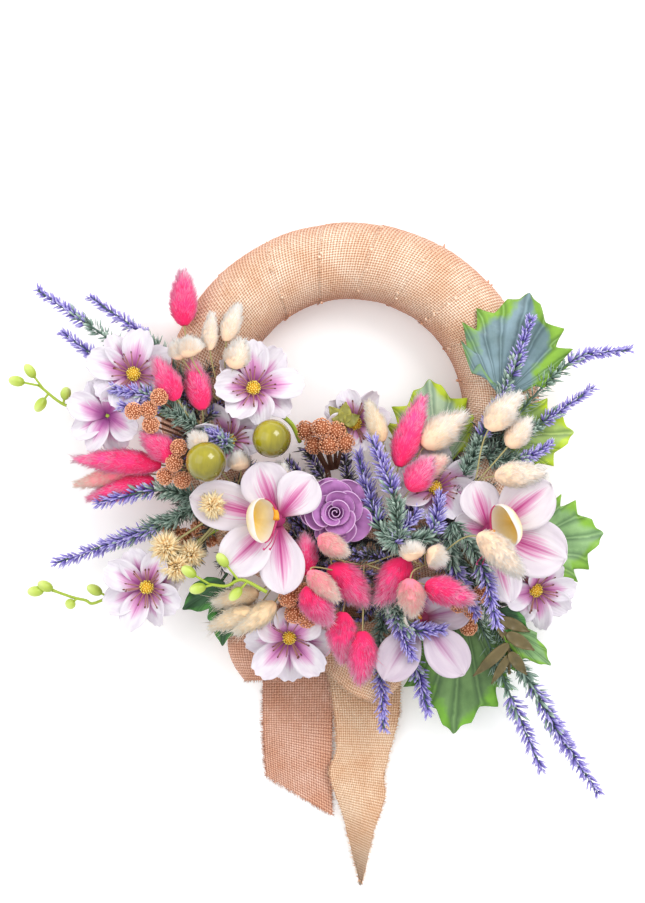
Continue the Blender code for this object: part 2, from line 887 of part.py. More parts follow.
def lay_bunch(name, root, strands, stations_of, sides, finish_name):
    """One bunch: its strands run from their tips by the heads' bases to the root, where they meet."""
    root = Vector(root)
    outward = sum((Vector(base) - root for _, base, _ in strands), Vector((0, 0)))
    across = outward.normalized().orthogonal()
    strands = sorted(strands, key=lambda ends: (Vector(ends[1]) - root).dot(across))
    places = [(i - (len(strands) - 1) / 2) * TIE_SPACING for i in range(len(strands))]
    ends = [root + across * place for place in places]
    routes = [curve_through([tip, base, tuple(end)]) for (tip, base, _), end in zip(strands, ends)]
    heads, radii = [], []
    for route, (tip, base, radius) in zip(routes, strands):
        steps = np.linalg.norm(np.diff(route, axis=0), axis=1)
        along = np.concatenate([[0], np.cumsum(steps)])
        head = math.dist(tip, base)
        heads.append(head / along[-1])
        radii.append(np.where(along < head, radius, STEM + 0.3))
    lines = meeting_lines(routes, radii)
    solids = [
        strand(line, shares, stations_of(head, strand_ends[2]), sides)
        for (line, shares), head, strand_ends in zip(lines, heads, strands)
    ]
    meeting_height = lines[0][0][-1].z
    solids.append(tie(root, across, places[-1] + STEM, meeting_height))
    lay(name, solids, finish_name)


def tail_stations(head, radius):
    """A fluffy head: a plump core whose faces are drawn out into tufts, then the bare stem."""
    poke = 0.32 * radius
    return [
        (0.03 * head, 0.25 * radius, 0.6 * poke),
        (0.3 * head, 0.7 * radius, poke),
        (0.72 * head, 0.72 * radius, poke),
        (min(head, 0.97), 0.2 * radius, 0),
        (1, STEM, 0),
    ]


def ball_stations(head, radius):
    """A round head of packed florets, then the bare stem."""
    poke = 0.22 * radius
    return [
        (0.08 * head, 0.6 * radius, poke),
        (0.5 * head, 0.95 * radius, poke),
        (min(head, 0.97), 0.3 * radius, 0),
        (1, STEM, 0),
    ]


def lavender_stations(head, radius):
    """A spike of florets, then the stem with its needle leaves as far as the root."""
    poke = 0.55 * radius
    leafy = head + (1 - head) * 0.66
    return [
        (0.01, 0.4, 0.6 * poke),
        (0.3 * head, 0.42 * radius, poke),
        (0.6 * head, 0.45 * radius, poke),
        (0.97 * head, 0.3 * radius, 1.2 * poke),
        (leafy, STEM, 0),
        (1, STEM, 0),
    ]


def lay_lavender(name):
    root, strands = LAVENDER[name]
    strands = [(*ends, LAVENDER_RADIUS) for ends in strands]
    lay_bunch(name, root, strands, lavender_stations, 4, "lavender")


def lay_tails(name, finish_name):
    root, strands = TAILS[name]
    lay_bunch(name, root, strands, tail_stations, 4, finish_name)


# Blooms

def petal(length, half_width, direction, rise, cup, rows, step=0.0, ribbed=True):
    """A petal from the middle of the bloom. rows are (share of the length, share of the width)."""
    ahead, across = turned(direction), turned(direction + 90)
    points = []
    for t, w in rows:
        middle = ahead * length * t + Vector((0, 0, step + length * rise * t * (1.6 - 0.6 * t)))
        if w == 0:
            points.append([middle])
            continue
        side = across * half_width * w
        lift = Vector((0, 0, cup * half_width * w))
        ribs = [middle] if ribbed else []
        points.append([middle - side + lift, *ribs, middle + side + lift])
    return blade(points)


def calyx(radius, depth):
    bm = bmesh.new()
    bmesh.ops.create_cone(
        bm, cap_ends=True, segments=6, radius1=radius * 0.4, radius2=radius, depth=depth,
        matrix=Matrix.Translation((0, 0, CALYX_TOP - depth / 2)),
    )
    return bm


def tilt(lean, side):
    """Leans a bloom by an angle towards a side."""
    return Matrix.Rotation(math.radians(lean), 4, Vector((-turned(side).y, turned(side).x, 0)))


def cosmos_head(reach, start):
    solids = [calyx(4.2, 7)]
    for i in range(COSMOS_PETALS):
        high = i % 2
        length = reach * draw.uniform(0.93, 1.04)
        rows = [(0.06, 0), (0.55, 0.86), (0.96, 0.8)]
        heading = start + 360 / COSMOS_PETALS * i
        rise, step = (0.24, PETAL_STEP) if high else (0.14, -PETAL_STEP)
        solids.append(petal(length, reach * 0.34, heading, rise, 0.12, rows, step, ribbed=False))
    return solids


def stem_to(middle, root):
    route = curve_through([middle, root])
    line, shares = resting_line(route, np.full(len(route), STALK + 0.3))
    return line, strand(line, shares, [(0, STALK, 0), (0.5, STALK, 0), (1, STALK, 0)], 4)


def lay_cosmos(name):
    middle, reach, lean, side, root = COSMOS[name]
    height, stems = 0, []
    if root:
        line, stem = stem_to(middle, root)
        height, stems = line[0].z + HUB_LIFT, [stem]
    place = Matrix.Translation((*middle, height)) @ tilt(lean, side)
    lay(name, moved(cosmos_head(reach, side), place) + stems, "cosmos_petal")


def lay_twins():
    solids = []
    routes = [curve_through([middle, TWIN_ROOT]) for middle, _, _, _ in TWIN_COSMOS]
    lines = meeting_lines(routes, [np.full(len(route), STALK + 0.3) for route in routes])
    for bloom, (line, shares) in enumerate(lines):
        middle, reach, lean, side = TWIN_COSMOS[bloom]
        line[0].z += TWIN_STEP * bloom
        place = Matrix.Translation((*middle, line[0].z + HUB_LIFT)) @ tilt(lean, side)
        stem = strand(line, shares, [(0, STALK, 0), (0.5, STALK, 0), (1, STALK, 0)], 4)
        solids += moved(cosmos_head(reach, side), place) + [stem]
    lay("cosmos_twins", solids, "cosmos_petal")


def lay_centre(name):
    """The yellow middle of a cosmos: a dome whose faces are drawn out into short anthers."""
    bloom = TWIN_COSMOS[0] if name == "cosmos_twins" else COSMOS[name]
    middle, _, lean, side = bloom[:4]
    bm = bmesh.new()
    flattened = Matrix.Diagonal((1, 1, 0.7, 1))
    bmesh.ops.create_icosphere(bm, subdivisions=1, radius=DOME_RADIUS, matrix=flattened)
    bmesh.ops.poke(bm, faces=bm.faces[:], offset=ANTHER)
    place = Matrix.Translation((*middle, 0)) @ tilt(lean, side)
    lay(name + "_centre", moved([closed_out(bm)], place), "cosmos_centre")


def lay_orchid(name):
    middle, petals, _, root = ORCHIDS[name]
    rows = [(0.05, 0), (0.4, 0.8), (0.72, 1.0), (0.94, 0.62), (1.0, 0)]
    solids = [calyx(5, 9)]
    for (direction, length, half_width), level in zip(petals, ORCHID_LEVELS):
        rise = 0.13 + 0.03 * level
        step = level * PETAL_STEP
        solids.append(petal(length, half_width, direction, rise, 0.1, rows, step))
    height, stems = 0, []
    if root:
        line, stem = stem_to(middle, root)
        height, stems = line[0].z + HUB_LIFT, [stem]
    lay(name, moved(solids, Matrix.Translation((*middle, height))) + stems, "orchid_petal")


def lay_lip(name):
    """The cupped lip of an orchid: three lobes round a short column."""
    middle, _, opening, _ = ORCHIDS[name]
    rows = [(0.0, 0.3), (0.55, 1.0), (0.95, 0.7)]
    solids = [calyx(3.6, 6)]
    for turn, length, width in ((0, 20, 6), (66, 16, 6), (-66, 16, 6)):
        solids.append(petal(length, width, opening + turn, 0.75, 0.5, rows, ribbed=False))
    lay(name + "_lip", moved(solids, Matrix.Translation((*middle, 0))), "orchid_lip")


def lay_rose():
    heart = bmesh.new()
    bmesh.ops.create_cone(
        heart, cap_ends=True, segments=6, radius1=6, radius2=2.4, depth=16,
        matrix=Matrix.Translation((0, 0, 6)),
    )
    solids = [heart]
    for count, root_height, outer, height, turn in ROSE_WHORLS:
        for i in range(count):
            heading = turn + 360 / count * i
            rows = [[turned(heading) * 2 + Vector((0, 0, root_height - 1))]]
            for share, width in ((0.55, 0.9), (1, 0.8)):
                half = 180 / count * width
                z = root_height + (height - root_height) * share
                spots = [turned(heading + a) * outer * share for a in (-half, 0, half)]
                rows.append([spot + Vector((0, 0, z)) for spot in spots])
            solids.append(blade(rows))
    lay("rose", moved(solids, Matrix.Translation((*ROSE, 0))), "rose_petal")


# Berries, balls, straw heads and buds

def lay_berry(name):
    middle, radius = BERRIES[name]
    bm = bmesh.new()
    bmesh.ops.create_uvsphere(bm, u_segments=10, v_segments=7, radius=radius)
    lay(name, moved([closed_out(bm)], Matrix.Translation((*middle, 0))), "berry")


def lay_brunia(name):
    root, balls = BRUNIA[name]
    strands = []
    for ball in balls:
        reach = (Vector(root) - Vector(ball)).normalized() * BRUNIA_RADIUS
        strands.append((tuple(Vector(ball) - reach), tuple(Vector(ball) + reach), BRUNIA_RADIUS))
    lay_bunch(name, root, strands, ball_stations, 4, "brunia")


def lay_straw():
    strands = []
    for (x, y), radius in STRAW_HEADS:
        inward = (Vector(STRAW_ROOT) - Vector((x, y))).normalized()
        tip = Vector((x, y)) - inward * radius
        base = Vector((x, y)) + inward * radius * 0.6
        strands.append((tuple(tip), tuple(base), radius))
    lay_bunch("straw_heads", STRAW_ROOT, strands, tail_stations, 4, "straw")


def bud_stations(head):
    """An egg-shaped bud, then its stalk."""
    return [
        (0.02, 0.6, 0),
        (0.45 * head, 2.9, 0),
        (0.85 * head, 2.2, 0),
        (head, 0.8, 0),
        (1, 0.8, 0),
    ]


def lay_buds(name):
    """A curved stem with a bud at the end of each short side stalk."""
    route_points, buds = BUDS[name]
    route = curve_through(route_points)
    line, shares = resting_line(route, np.full(len(route), 3.2))
    joints = [int(share * (len(line) - 1)) for _, share in buds]
    solids = [strand(line, shares, jointed_stations(shares, joints, 1.0), 4)]
    for (tip, _), k in zip(buds, joints):
        start, end = Vector((*tip, line[k].z + 1.5)), line[k]
        side_line = [start.lerp(end, t) for t in np.linspace(0, 1, 12)]
        head = min(9 / (end - start).length, 0.7)
        solids.append(strand(side_line, np.linspace(0, 1, 12), bud_stations(head), 5))
    lay(name, solids, "bud")


def put_ring():
    for name, solids, finish_name in (
        ("foam_core", ring_core(), "foam"),
        ("burlap_wrap", ring_wrap(), "burlap"),
    ):
        keep(*skin(solids))
        add_node(name, solids, finish_name)


def centre_on_origin():
    """Moves the wreath so that the middle of its bounding box's bottom is the origin."""
    bpy.context.view_layer.update()
    corners = [o.matrix_world @ Vector(c) for o in wreath.children for c in o.bound_box]
    low = Vector([min(c[i] for c in corners) for i in range(3)])
    high = Vector([max(c[i] for c in corners) for i in range(3)])
    wreath.location = -Vector(((low.x + high.x) / 2, (low.y + high.y) / 2, low.z))


def build():
    global wreath
    clear_scene()
    wreath = bpy.data.objects.new("wreath", None)
    bpy.context.scene.collection.objects.link(wreath)
    put_ring()
    lay("bow_tails", bow_tails(), "burlap")
    lay("bow_loops", bow_loops(), "burlap")
    lay_leaf("leaf_blue_top_right", "leaf_blue")
    lay_leaf("leaf_yellow_right", "leaf_yellow")
    lay_leaf("leaf_green_right", "leaf_green")
    lay_leaf("leaf_green_lower_right", "leaf_green")
    lay_leaf("leaf_green_top", "leaf_green")
    lay_lower_left_leaves()
    lay_buds("buds_upper_left")
    lay_buds("buds_lower_left")
    lay_lavender("lavender_upper_left")
    lay_lavender("lavender_left")
    lay_lavender("lavender_lower_right")
    lay_sprig()
    lay_lavender("lavender_right")
    lay_cosmos("cosmos_left")
    lay_centre("cosmos_left")
    lay_twins()
    lay_centre("cosmos_twins")
    lay_cosmos("cosmos_right")
    lay_cosmos("cosmos_low")
    lay_cosmos("cosmos_top")
    lay_top_sprig()
    lay_cosmos("cosmos_mid_left")
    lay_lavender("lavender_low_centre")
    lay_lavender("lavender_left_mid")
    lay_tails("tails_pink_upper_left", "pink_tail")
    lay_tails("tails_pink_left", "pink_tail")
    lay_brunia("brunia_left")
    lay_brunia("brunia_top")
    lay_brunia("brunia_right")
    lay_straw()
    lay_cosmos("cosmos_upper_mid")
    lay_centre("cosmos_upper_mid")
    lay_tails("tails_cream_upper_left", "cream_tail")
    lay_tails("tails_cream_left", "cream_tail")
    lay_cosmos("cosmos_centre")
    lay_centre("cosmos_centre")
    lay_tails("tails_cream_top", "cream_tail")
    lay_lavender("lavender_right_top")
    lay_tails("tails_pink_top", "pink_tail")
    lay_orchid("orchid_right")
    lay_lip("orchid_right")
    lay_orchid("orchid_low")
    lay_tails("tails_cream_right", "cream_tail")
    lay_lavender("lavender_right_low")
    lay_lavender("lavender_centre")
    lay_tails("tails_cream_lower_left", "cream_tail")
    lay_brunia("brunia_low")
    lay_rose()
    lay_orchid("orchid_left")
    lay_lip("orchid_left")
    lay_tails("tails_pink_centre", "pink_tail")
    lay_tails("tails_blush", "blush_tail")
    lay_tails("tails_cream_low", "cream_tail")
    lay_berry("berry_left")
    lay_berry("berry_right")
    lay_buds("buds_middle")
    centre_on_origin()


build()
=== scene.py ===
import math

import bmesh
import bpy
import numpy as np
from mathutils import Matrix, Vector
from mathutils.bvhtree import BVHTree


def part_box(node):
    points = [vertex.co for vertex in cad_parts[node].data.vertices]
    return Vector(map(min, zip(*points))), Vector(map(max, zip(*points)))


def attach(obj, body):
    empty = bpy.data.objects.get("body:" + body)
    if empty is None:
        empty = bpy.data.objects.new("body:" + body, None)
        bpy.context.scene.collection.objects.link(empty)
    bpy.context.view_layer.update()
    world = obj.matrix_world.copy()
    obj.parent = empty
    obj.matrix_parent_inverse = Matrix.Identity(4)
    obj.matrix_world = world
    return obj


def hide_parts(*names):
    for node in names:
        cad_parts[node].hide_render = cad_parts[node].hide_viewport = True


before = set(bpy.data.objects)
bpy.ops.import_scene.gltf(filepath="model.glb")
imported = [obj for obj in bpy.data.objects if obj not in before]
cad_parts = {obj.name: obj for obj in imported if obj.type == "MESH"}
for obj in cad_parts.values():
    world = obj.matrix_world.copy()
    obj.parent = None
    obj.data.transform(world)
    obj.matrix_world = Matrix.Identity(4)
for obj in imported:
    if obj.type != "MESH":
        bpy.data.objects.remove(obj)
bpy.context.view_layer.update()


# Camera, light and floor. The wreath lies on a white table and is looked at from straight above, so lengths
# are given in millimetres from the middle of its ring, with the bow towards -Y. Two soft boxes and a white
# room light it, and the paper on the table glows very slightly, which keeps it white to the eye.

wrap_low, wrap_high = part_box("burlap_wrap")
RING_MIDDLE = Vector(((wrap_low.x + wrap_high.x) / 2, (wrap_low.y + wrap_high.y) / 2, 0))
IN_FRAME = Matrix.Translation(RING_MIDDLE) @ Matrix.Scale(0.001, 4)
VIEW_MIDDLE = (-18.2, -26.4)
CAMERA_HEIGHT = 2400
LENS = 143.95
SENSOR_WIDTH = 36
FARTHEST_SEEN = 10
ROOM_LIGHT = 1.1
PAPER_GLOW = 0.12
TABLE_REACH = 3
rng = np.random.default_rng(11)


def linear(colour):
    """A hex colour of the screen as the linear colour that a shader takes."""
    channels = [int(colour[i : i + 2], 16) / 255 for i in (0, 2, 4)]
    return tuple(c / 12.92 if c <= 0.04045 else ((c + 0.055) / 1.055) ** 2.4 for c in channels) + (1,)


def add(material, kind, inputs=None, stops=None, output=0, **settings):
    """Adds a shader node and gives one of its outputs, or all of them where output is None. Its inputs take
    values or other nodes' outputs, and stops are a ramp's colours."""
    made = material.node_tree.nodes.new("ShaderNode" + kind)
    for name, value in settings.items():
        setattr(made, name, value)
    for name, value in (inputs or {}).items():
        if isinstance(value, bpy.types.NodeSocket):
            material.node_tree.links.new(value, made.inputs[name])
        else:
            made.inputs[name].default_value = value
    for i, (place, colour) in enumerate(stops or []):
        ramp = made.color_ramp.elements
        stop = ramp[i] if i < 2 else ramp.new(place)
        stop.position, stop.color = place, linear(colour)
    return made.outputs if output is None else made.outputs[output]


def new_material(name):
    """A material whose shader is still to be added."""
    material = bpy.data.materials.new(name)
    material.use_nodes = True
    material.node_tree.nodes.remove(material.node_tree.nodes["Principled BSDF"])
    return material


def shade(material, inputs):
    """Gives a material its Principled shader."""
    output = material.node_tree.nodes["Material Output"]
    shader = add(material, "BsdfPrincipled", inputs)
    material.node_tree.links.new(shader, output.inputs["Surface"])
    return material


bpy.context.scene.view_settings.view_transform = "Standard"
world = bpy.data.worlds.new("studio")
world.use_nodes = True
world.node_tree.nodes["Background"].inputs["Color"].default_value = linear("FFFFFF")
world.node_tree.nodes["Background"].inputs["Strength"].default_value = ROOM_LIGHT
bpy.context.scene.world = world

camera = bpy.data.objects.new("camera", bpy.data.cameras.new("camera"))
bpy.context.scene.collection.objects.link(camera)
camera.data.lens = LENS
camera.data.sensor_width = SENSOR_WIDTH
camera.data.clip_end = FARTHEST_SEEN
camera.location = IN_FRAME @ Vector((*VIEW_MIDDLE, CAMERA_HEIGHT))
bpy.context.scene.camera = camera


def lamp(name, place, aim, size, power):
    """A square soft box that shines from a place towards another."""
    light = bpy.data.objects.new(name, bpy.data.lights.new(name, "AREA"))
    light.data.size, light.data.energy = size, power
    light.location = IN_FRAME @ Vector(place)
    light.rotation_euler = (Vector(aim) - Vector(place)).to_track_quat("-Z", "Y").to_euler()
    bpy.context.scene.collection.objects.link(light)


lamp("key", place=(900, 1000, 1500), aim=(0, -40, 0), size=0.9, power=19)
lamp("fill", place=(-1100, 300, 1200), aim=(0, -40, 0), size=1.2, power=5)

# Uncoated white paper: matt, with a faint grain.
white_table = new_material("white_paper_sweep")
grain = add(white_table, "TexNoise", {"Scale": 60, "Detail": 2})
tone = add(white_table, "ValToRGB", {"Fac": grain}, stops=[(0, "FBFBFB"), (1, "FFFFFF")])
shade(white_table, {
    "Base Color": tone, "Roughness": 0.9, "Specular IOR Level": 0.1,
    "Emission Color": tone, "Emission Strength": PAPER_GLOW,
})
bm = bmesh.new()
bmesh.ops.create_grid(bm, x_segments=1, y_segments=1, size=TABLE_REACH)
floor = bpy.data.objects.new("floor", bpy.data.meshes.new("floor"))
bm.to_mesh(floor.data)
bm.free()
floor.data.materials.append(white_table)
bpy.context.scene.collection.objects.link(floor)


# Ring. A form of dry foam is wound with one long strip of burlap, a coarse open plain weave of jute, whose
# turns lap over each other. Along each lap its cut edge frays, and loose ends of thread have curled up into
# small nubs.

RING_RADIUS = 99.2
TUBE_RADIUS = 25.4
TUBE_HEIGHT = 22
CORE_RADIUS = 20.2
DEEPEST = TUBE_RADIUS - CORE_RADIUS
TURNS = 20
THREAD = 1.75
RELIEF = 0.4
STRIP_LAP = 4.5
STRIP_WIDTH = math.tau * RING_RADIUS / TURNS + STRIP_LAP
STRIP_OUT = 4.2
STRIP_LIFT = 0.5
STRIP_SAG = 0.175
FRAYS = 900
NUBS = 500


def as_mesh(name, bm):
    """Ends a bmesh as a mesh."""
    mesh = bpy.data.meshes.new(name)
    bm.to_mesh(mesh)
    bm.free()
    return mesh


def read(mesh):
    """The points and triangles of a mesh as arrays."""
    points = np.empty(len(mesh.vertices) * 3)
    mesh.vertices.foreach_get("co", points)
    mesh.calc_loop_triangles()
    faces = np.empty(len(mesh.loop_triangles) * 3, np.int32)
    mesh.loop_triangles.foreach_get("vertices", faces)
    return points.reshape(-1, 3), faces.reshape(-1, 3)


def unit(vectors):
    """Each vector brought to a length of one."""
    return vectors / (np.linalg.norm(vectors, axis=1, keepdims=True) + 1e-12)


def piece(name, parts, node):
    """Makes the piece that stands for a CAD node, of parts in ring millimetres. A part is (points, triangles,
    spots, material), and its spots, three numbers for each point, tell the material where on the real thing
    a point is. Three more, where a part has them, are the way out of the tuft that a hair stands in."""
    points = np.concatenate([part[0] for part in parts])
    starts = np.cumsum([0] + [len(part[0]) for part in parts])
    faces = np.concatenate([part[1] + start for part, start in zip(parts, starts)])
    mesh = bpy.data.meshes.new(name)
    mesh.vertices.add(len(points))
    mesh.vertices.foreach_set("co", points.astype(np.float32).ravel())
    mesh.loops.add(faces.size)
    mesh.loops.foreach_set("vertex_index", faces.astype(np.int32).ravel())
    mesh.polygons.add(len(faces))
    mesh.polygons.foreach_set("loop_start", np.arange(0, faces.size, 3, dtype=np.int32))
    materials = list(dict.fromkeys(part[3] for part in parts))
    indices = [np.full(len(part[1]), materials.index(part[3]), np.int32) for part in parts]
    mesh.polygons.foreach_set("material_index", np.concatenate(indices))
    mesh.update(calc_edges=True)
    mesh.shade_smooth()
    told = np.concatenate([np.pad(part[2], ((0, 0), (0, 6 - part[2].shape[1]))) for part in parts])
    for attribute, columns in (("spot", told[:, :3]), ("outward", told[:, 3:])):
        if columns.any():
            made = mesh.attributes.new(attribute, "FLOAT_VECTOR", "POINT")
            made.data.foreach_set("vector", columns.astype(np.float32).ravel())
    for material in materials:
        mesh.materials.append(material)
    mesh.transform(IN_FRAME)
    made = bpy.data.objects.new(name, mesh)
    bpy.context.scene.collection.objects.link(made)
    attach(made, "root")
    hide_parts(node)
    return made


def woven(across, along, surface, relief=RELIEF):
    """Burlap of so many threads, laid on a surface that gives its point for shares of width and length.
    Each thread rises where it passes over another and dips beside it, where it passes under the next."""
    bm = bmesh.new()
    bmesh.ops.create_grid(bm, x_segments=across, y_segments=along, size=0.5)
    grid, faces = read(as_mesh("cloth", bm))
    u, v = grid[:, 0] + 0.5, grid[:, 1] + 0.5
    points = surface(u, v)
    step = 1e-4
    side, ahead = surface(u + step, v) - points, surface(u, v + step) - points
    normal = unit(np.cross(side, ahead))
    threads = np.stack([u * across, v * along], axis=1)
    over = 1 - 2 * (threads.round().sum(axis=1) % 2)
    slub = 1 + 0.5 * np.sin(threads[:, 0] * 2.1 + 3 * np.sin(threads[:, 1] * 0.23))
    points = points + normal * (relief * over * slub / 2 + relief * 0.6)[:, None]
    spots = np.column_stack([threads + 0.5, rng.random(len(points))])
    return points, faces, spots


def burlap_material(name, shaded_gap, thread, thread_highlight, low="FFFFFF"):
    """Jute cloth: matt, with thread tops painted lighter as a highlight, openings painted darker as the shade
    in them, and slubs of uneven colour, in faded patches of 2 cm and fibres of 0.7 mm. Low down, another tint
    can be painted in as shade near the table."""
    material = new_material(name)
    spot = add(material, "Attribute", attribute_name="spot", output="Vector")
    sums = add(material, "VectorMath", {0: spot, 1: (math.pi, math.pi, 0)}, operation="MULTIPLY")
    waves = add(material, "VectorMath", {0: sums}, operation="SINE")
    tops = add(material, "VectorMath", {0: waves}, operation="ABSOLUTE")
    split = add(material, "SeparateXYZ", {0: tops}, output=None)
    signs = add(material, "SeparateXYZ", {0: waves}, output=None)
    checker = add(material, "Math", {0: signs[0], 1: signs[1]}, operation="MULTIPLY")
    over = add(material, "Math", {0: checker, 1: 0.0}, operation="GREATER_THAN")
    top = add(material, "MixRGB", {"Fac": over, "Color1": split[1], "Color2": split[0]})
    hollow = add(material, "Math", {0: split[0], 1: split[1]}, operation="MAXIMUM")
    round_top = add(material, "Math", {0: top, 1: 0.6}, operation="POWER")
    height = add(material, "Math", {0: round_top, 1: hollow}, operation="MULTIPLY")
    slubs = add(material, "VectorMath", {0: spot, 1: (0.9, 0.12, 0)}, operation="MULTIPLY")
    slub_tone = add(material, "TexNoise", {"Vector": slubs, "Scale": 2.2, "Detail": 3})
    place = add(material, "TexCoord", output="Object")
    patches = add(material, "TexNoise", {"Vector": place, "Scale": 45, "Detail": 3})
    fibres = add(material, "TexNoise", {"Vector": place, "Scale": 1400, "Detail": 2})
    # Painted light: openings are painted darker as shade and thread tops lighter as a highlight.
    colour = add(material, "ValToRGB", {"Fac": height}, stops=[(0.05, shaded_gap), (0.8, thread), (0.98, thread_highlight)])
    worn = add(material, "ValToRGB", {"Fac": slub_tone}, stops=[(0.3, "D6B49A"), (0.7, "FFFFFF")])
    mixed = add(material, "MixRGB", {"Fac": 0.5, "Color1": colour, "Color2": worn}, blend_type="MULTIPLY")
    patch = add(material, "ValToRGB", {"Fac": patches}, stops=[(0.35, "EBCFB8"), (0.65, "FFFFFF")])
    mixed = add(material, "MixRGB", {"Fac": 0.6, "Color1": mixed, "Color2": patch}, blend_type="MULTIPLY")
    # Painted shade: low down, the cloth is multiplied by the low tint.
    above = add(material, "SeparateXYZ", {0: place}, output="Z")
    above = add(material, "Math", {0: above, 1: 20}, operation="MULTIPLY")
    painted_low_shade = add(material, "ValToRGB", {"Fac": above}, stops=[(0.2, low), (0.85, "FFFFFF")])
    mixed = add(material, "MixRGB", {"Fac": 1.0, "Color1": mixed, "Color2": painted_low_shade}, blend_type="MULTIPLY")
    rough = add(material, "MixRGB", {"Fac": 0.3, "Color1": height, "Color2": fibres})
    bump = add(material, "Bump", {"Height": rough, "Strength": 1.0, "Distance": 0.0007})
    return shade(material, {
        "Base Color": mixed,
        "Roughness": 0.95,
        "Specular IOR Level": 0.15,
        "Sheen Weight": 0.15,
        "Normal": bump,
    })


# The same jute thrice: as sold; as wound on the ring, with painted shade low down; and a darker, rosier copy
# that is painted shade, for the left loop and tail.
burlap = burlap_material("natural_jute_burlap", "D0A07E", "F9D6B2", "FFF0DA")
wound_burlap = burlap_material("wound_jute_burlap", "BE866A", "F9D8BA", "FFF6E8", "E4A994")
shaded_burlap = burlap_material("shaded_jute_burlap", "B88874", "E2B29C", "F6D4C2")


def ring_surface(turn, around, offset):
    """The point at a turn round the ring and an angle round its tube, in radians, so far out of the core."""
    radius = CORE_RADIUS + offset
    out = RING_RADIUS + radius * np.cos(around)
    height = np.maximum(TUBE_HEIGHT + radius * np.sin(around), DEEPEST - offset)
    return np.column_stack([out * np.cos(turn), out * np.sin(turn), height])


def wound_strip(across, along):
    """The strip starts on the form and rises to lap over the start of its own next turn."""
    around = along * TURNS * math.tau - math.pi / 2
    pitch = math.tau / TURNS
    lap = STRIP_LAP / RING_RADIUS
    turn = pitch * along * TURNS + (pitch + lap) * across
    sag = STRIP_SAG * np.sin(around * 0.73) * np.sin(across * 7)
    offset = STRIP_OUT + STRIP_LIFT * np.minimum(across * 1.25, 1) + sag
    return ring_surface(turn, around, offset)


def upright(directions, rolls):
    """Turns that bring +Z to each direction, rolled about it."""
    ahead = unit(directions)
    other = np.where(np.abs(ahead[:, 2:3]) > 0.9, [[1.0, 0, 0]], [[0, 0, 1.0]])
    side = unit(np.cross(other, ahead))
    up = np.cross(ahead, side)
    c, s = np.cos(rolls)[:, None], np.sin(rolls)[:, None]
    return np.stack([side * c + up * s, up * c - side * s, ahead], axis=2)


def sized(width, depth, lengths):
    """The sizes of copies for scattered() that differ in length alone."""
    return np.column_stack([np.full(len(lengths), width), np.full(len(lengths), depth), lengths])


def scattered(template, places, directions, sizes, spots, material, outward=None):
    """Copies of a small shape that stands on +Z. sizes are (width, depth, length), and spots are two values
    for each copy that the material is told after a point's share of the shape's own height."""
    points, faces, heights = template
    count = len(places)
    turns = upright(np.asarray(directions, float), rng.random(count) * math.tau)
    scaled = points[None] * np.asarray(sizes, float)[:, None, :]
    made = np.einsum("nij,nkj->nki", turns, scaled) + np.asarray(places, float)[:, None, :]
    told = np.empty((count, len(points), 3 if outward is None else 6))
    told[:, :, 0] = heights[None]
    told[:, :, 1] = spots[0][:, None]
    told[:, :, 2] = spots[1][:, None]
    if outward is not None:
        told[:, :, 3:] = outward[:, None]
    index = faces[None] + (np.arange(count) * len(points))[:, None, None]
    return made.reshape(-1, 3), index.reshape(-1, 3), told.reshape(-1, told.shape[2]), material


def template(bm):
    """A small shape for scattered(): its points, triangles and heights as shares."""
    bmesh.ops.remove_doubles(bm, verts=bm.verts[:], dist=1e-4)
    bmesh.ops.recalc_face_normals(bm, faces=bm.faces[:])
    points, faces = read(as_mesh("repeat", bm))
    heights = (points[:, 2] - points[:, 2].min()) / np.ptp(points[:, 2])
    return points, faces, heights


bm = bmesh.new()
bmesh.ops.create_cone(bm, segments=3, radius1=1, radius2=0, depth=1, matrix=Matrix.Translation((0, 0, 0.5)))
SPIKE = template(bm)

threads_across = round(STRIP_WIDTH / THREAD)
threads_along = round(math.tau * TUBE_RADIUS / THREAD) * TURNS
wrap_part = (*woven(threads_across, threads_along, wound_strip), wound_burlap)

# Loose fibres that lean out along the free edge of each lap, apart from where it lies on the table.
along = rng.random(FRAYS)
roots = wound_strip(np.full(FRAYS, 0.995), along)
outward = unit(wound_strip(np.full(FRAYS, 1.02), along) - wound_strip(np.full(FRAYS, 0.97), along))
tube_middles = np.column_stack([unit(roots[:, :2]) * RING_RADIUS, np.full(FRAYS, TUBE_HEIGHT)])
leans = outward + unit(roots - tube_middles) * rng.uniform(-0.1, 0.5, (FRAYS, 1))
leans += rng.normal(0, 0.4, (FRAYS, 3))
lengths = rng.uniform(1.0, 2.6, FRAYS)
keep = roots[:, 2] > 3
told = (rng.random(keep.sum()) * 20, rng.random(keep.sum()))
frays = scattered(SPIKE, roots[keep], leans[keep], sized(0.3, 0.3, lengths[keep]), told, wound_burlap)

# Curled ends of thread that have bunched up into nubs beside the laps.
bm = bmesh.new()
bmesh.ops.create_icosphere(bm, subdivisions=1, radius=0.5, matrix=Matrix.Translation((0, 0, 0.5)))
NUB = template(bm)
along = rng.random(NUBS)
across = 0.985 + rng.normal(0, 0.02, NUBS)
roots = wound_strip(across, along)
ahead = unit(wound_strip(across, along + 0.0002) - roots)
sizes = np.hstack([rng.uniform(1.2, 2.4, (NUBS, 2)), rng.uniform(1.4, 3.6, (NUBS, 1))])
leans = ahead + rng.normal(0, 0.6, (NUBS, 3))
keep = roots[:, 2] > 6
told = (np.full(keep.sum(), 0.5), rng.random(keep.sum()))
nubs = scattered(NUB, roots[keep], leans[keep], sizes[keep], told, wound_burlap)
wrap = piece("burlap_ring_wrap", [wrap_part, frays, nubs], "burlap_wrap")

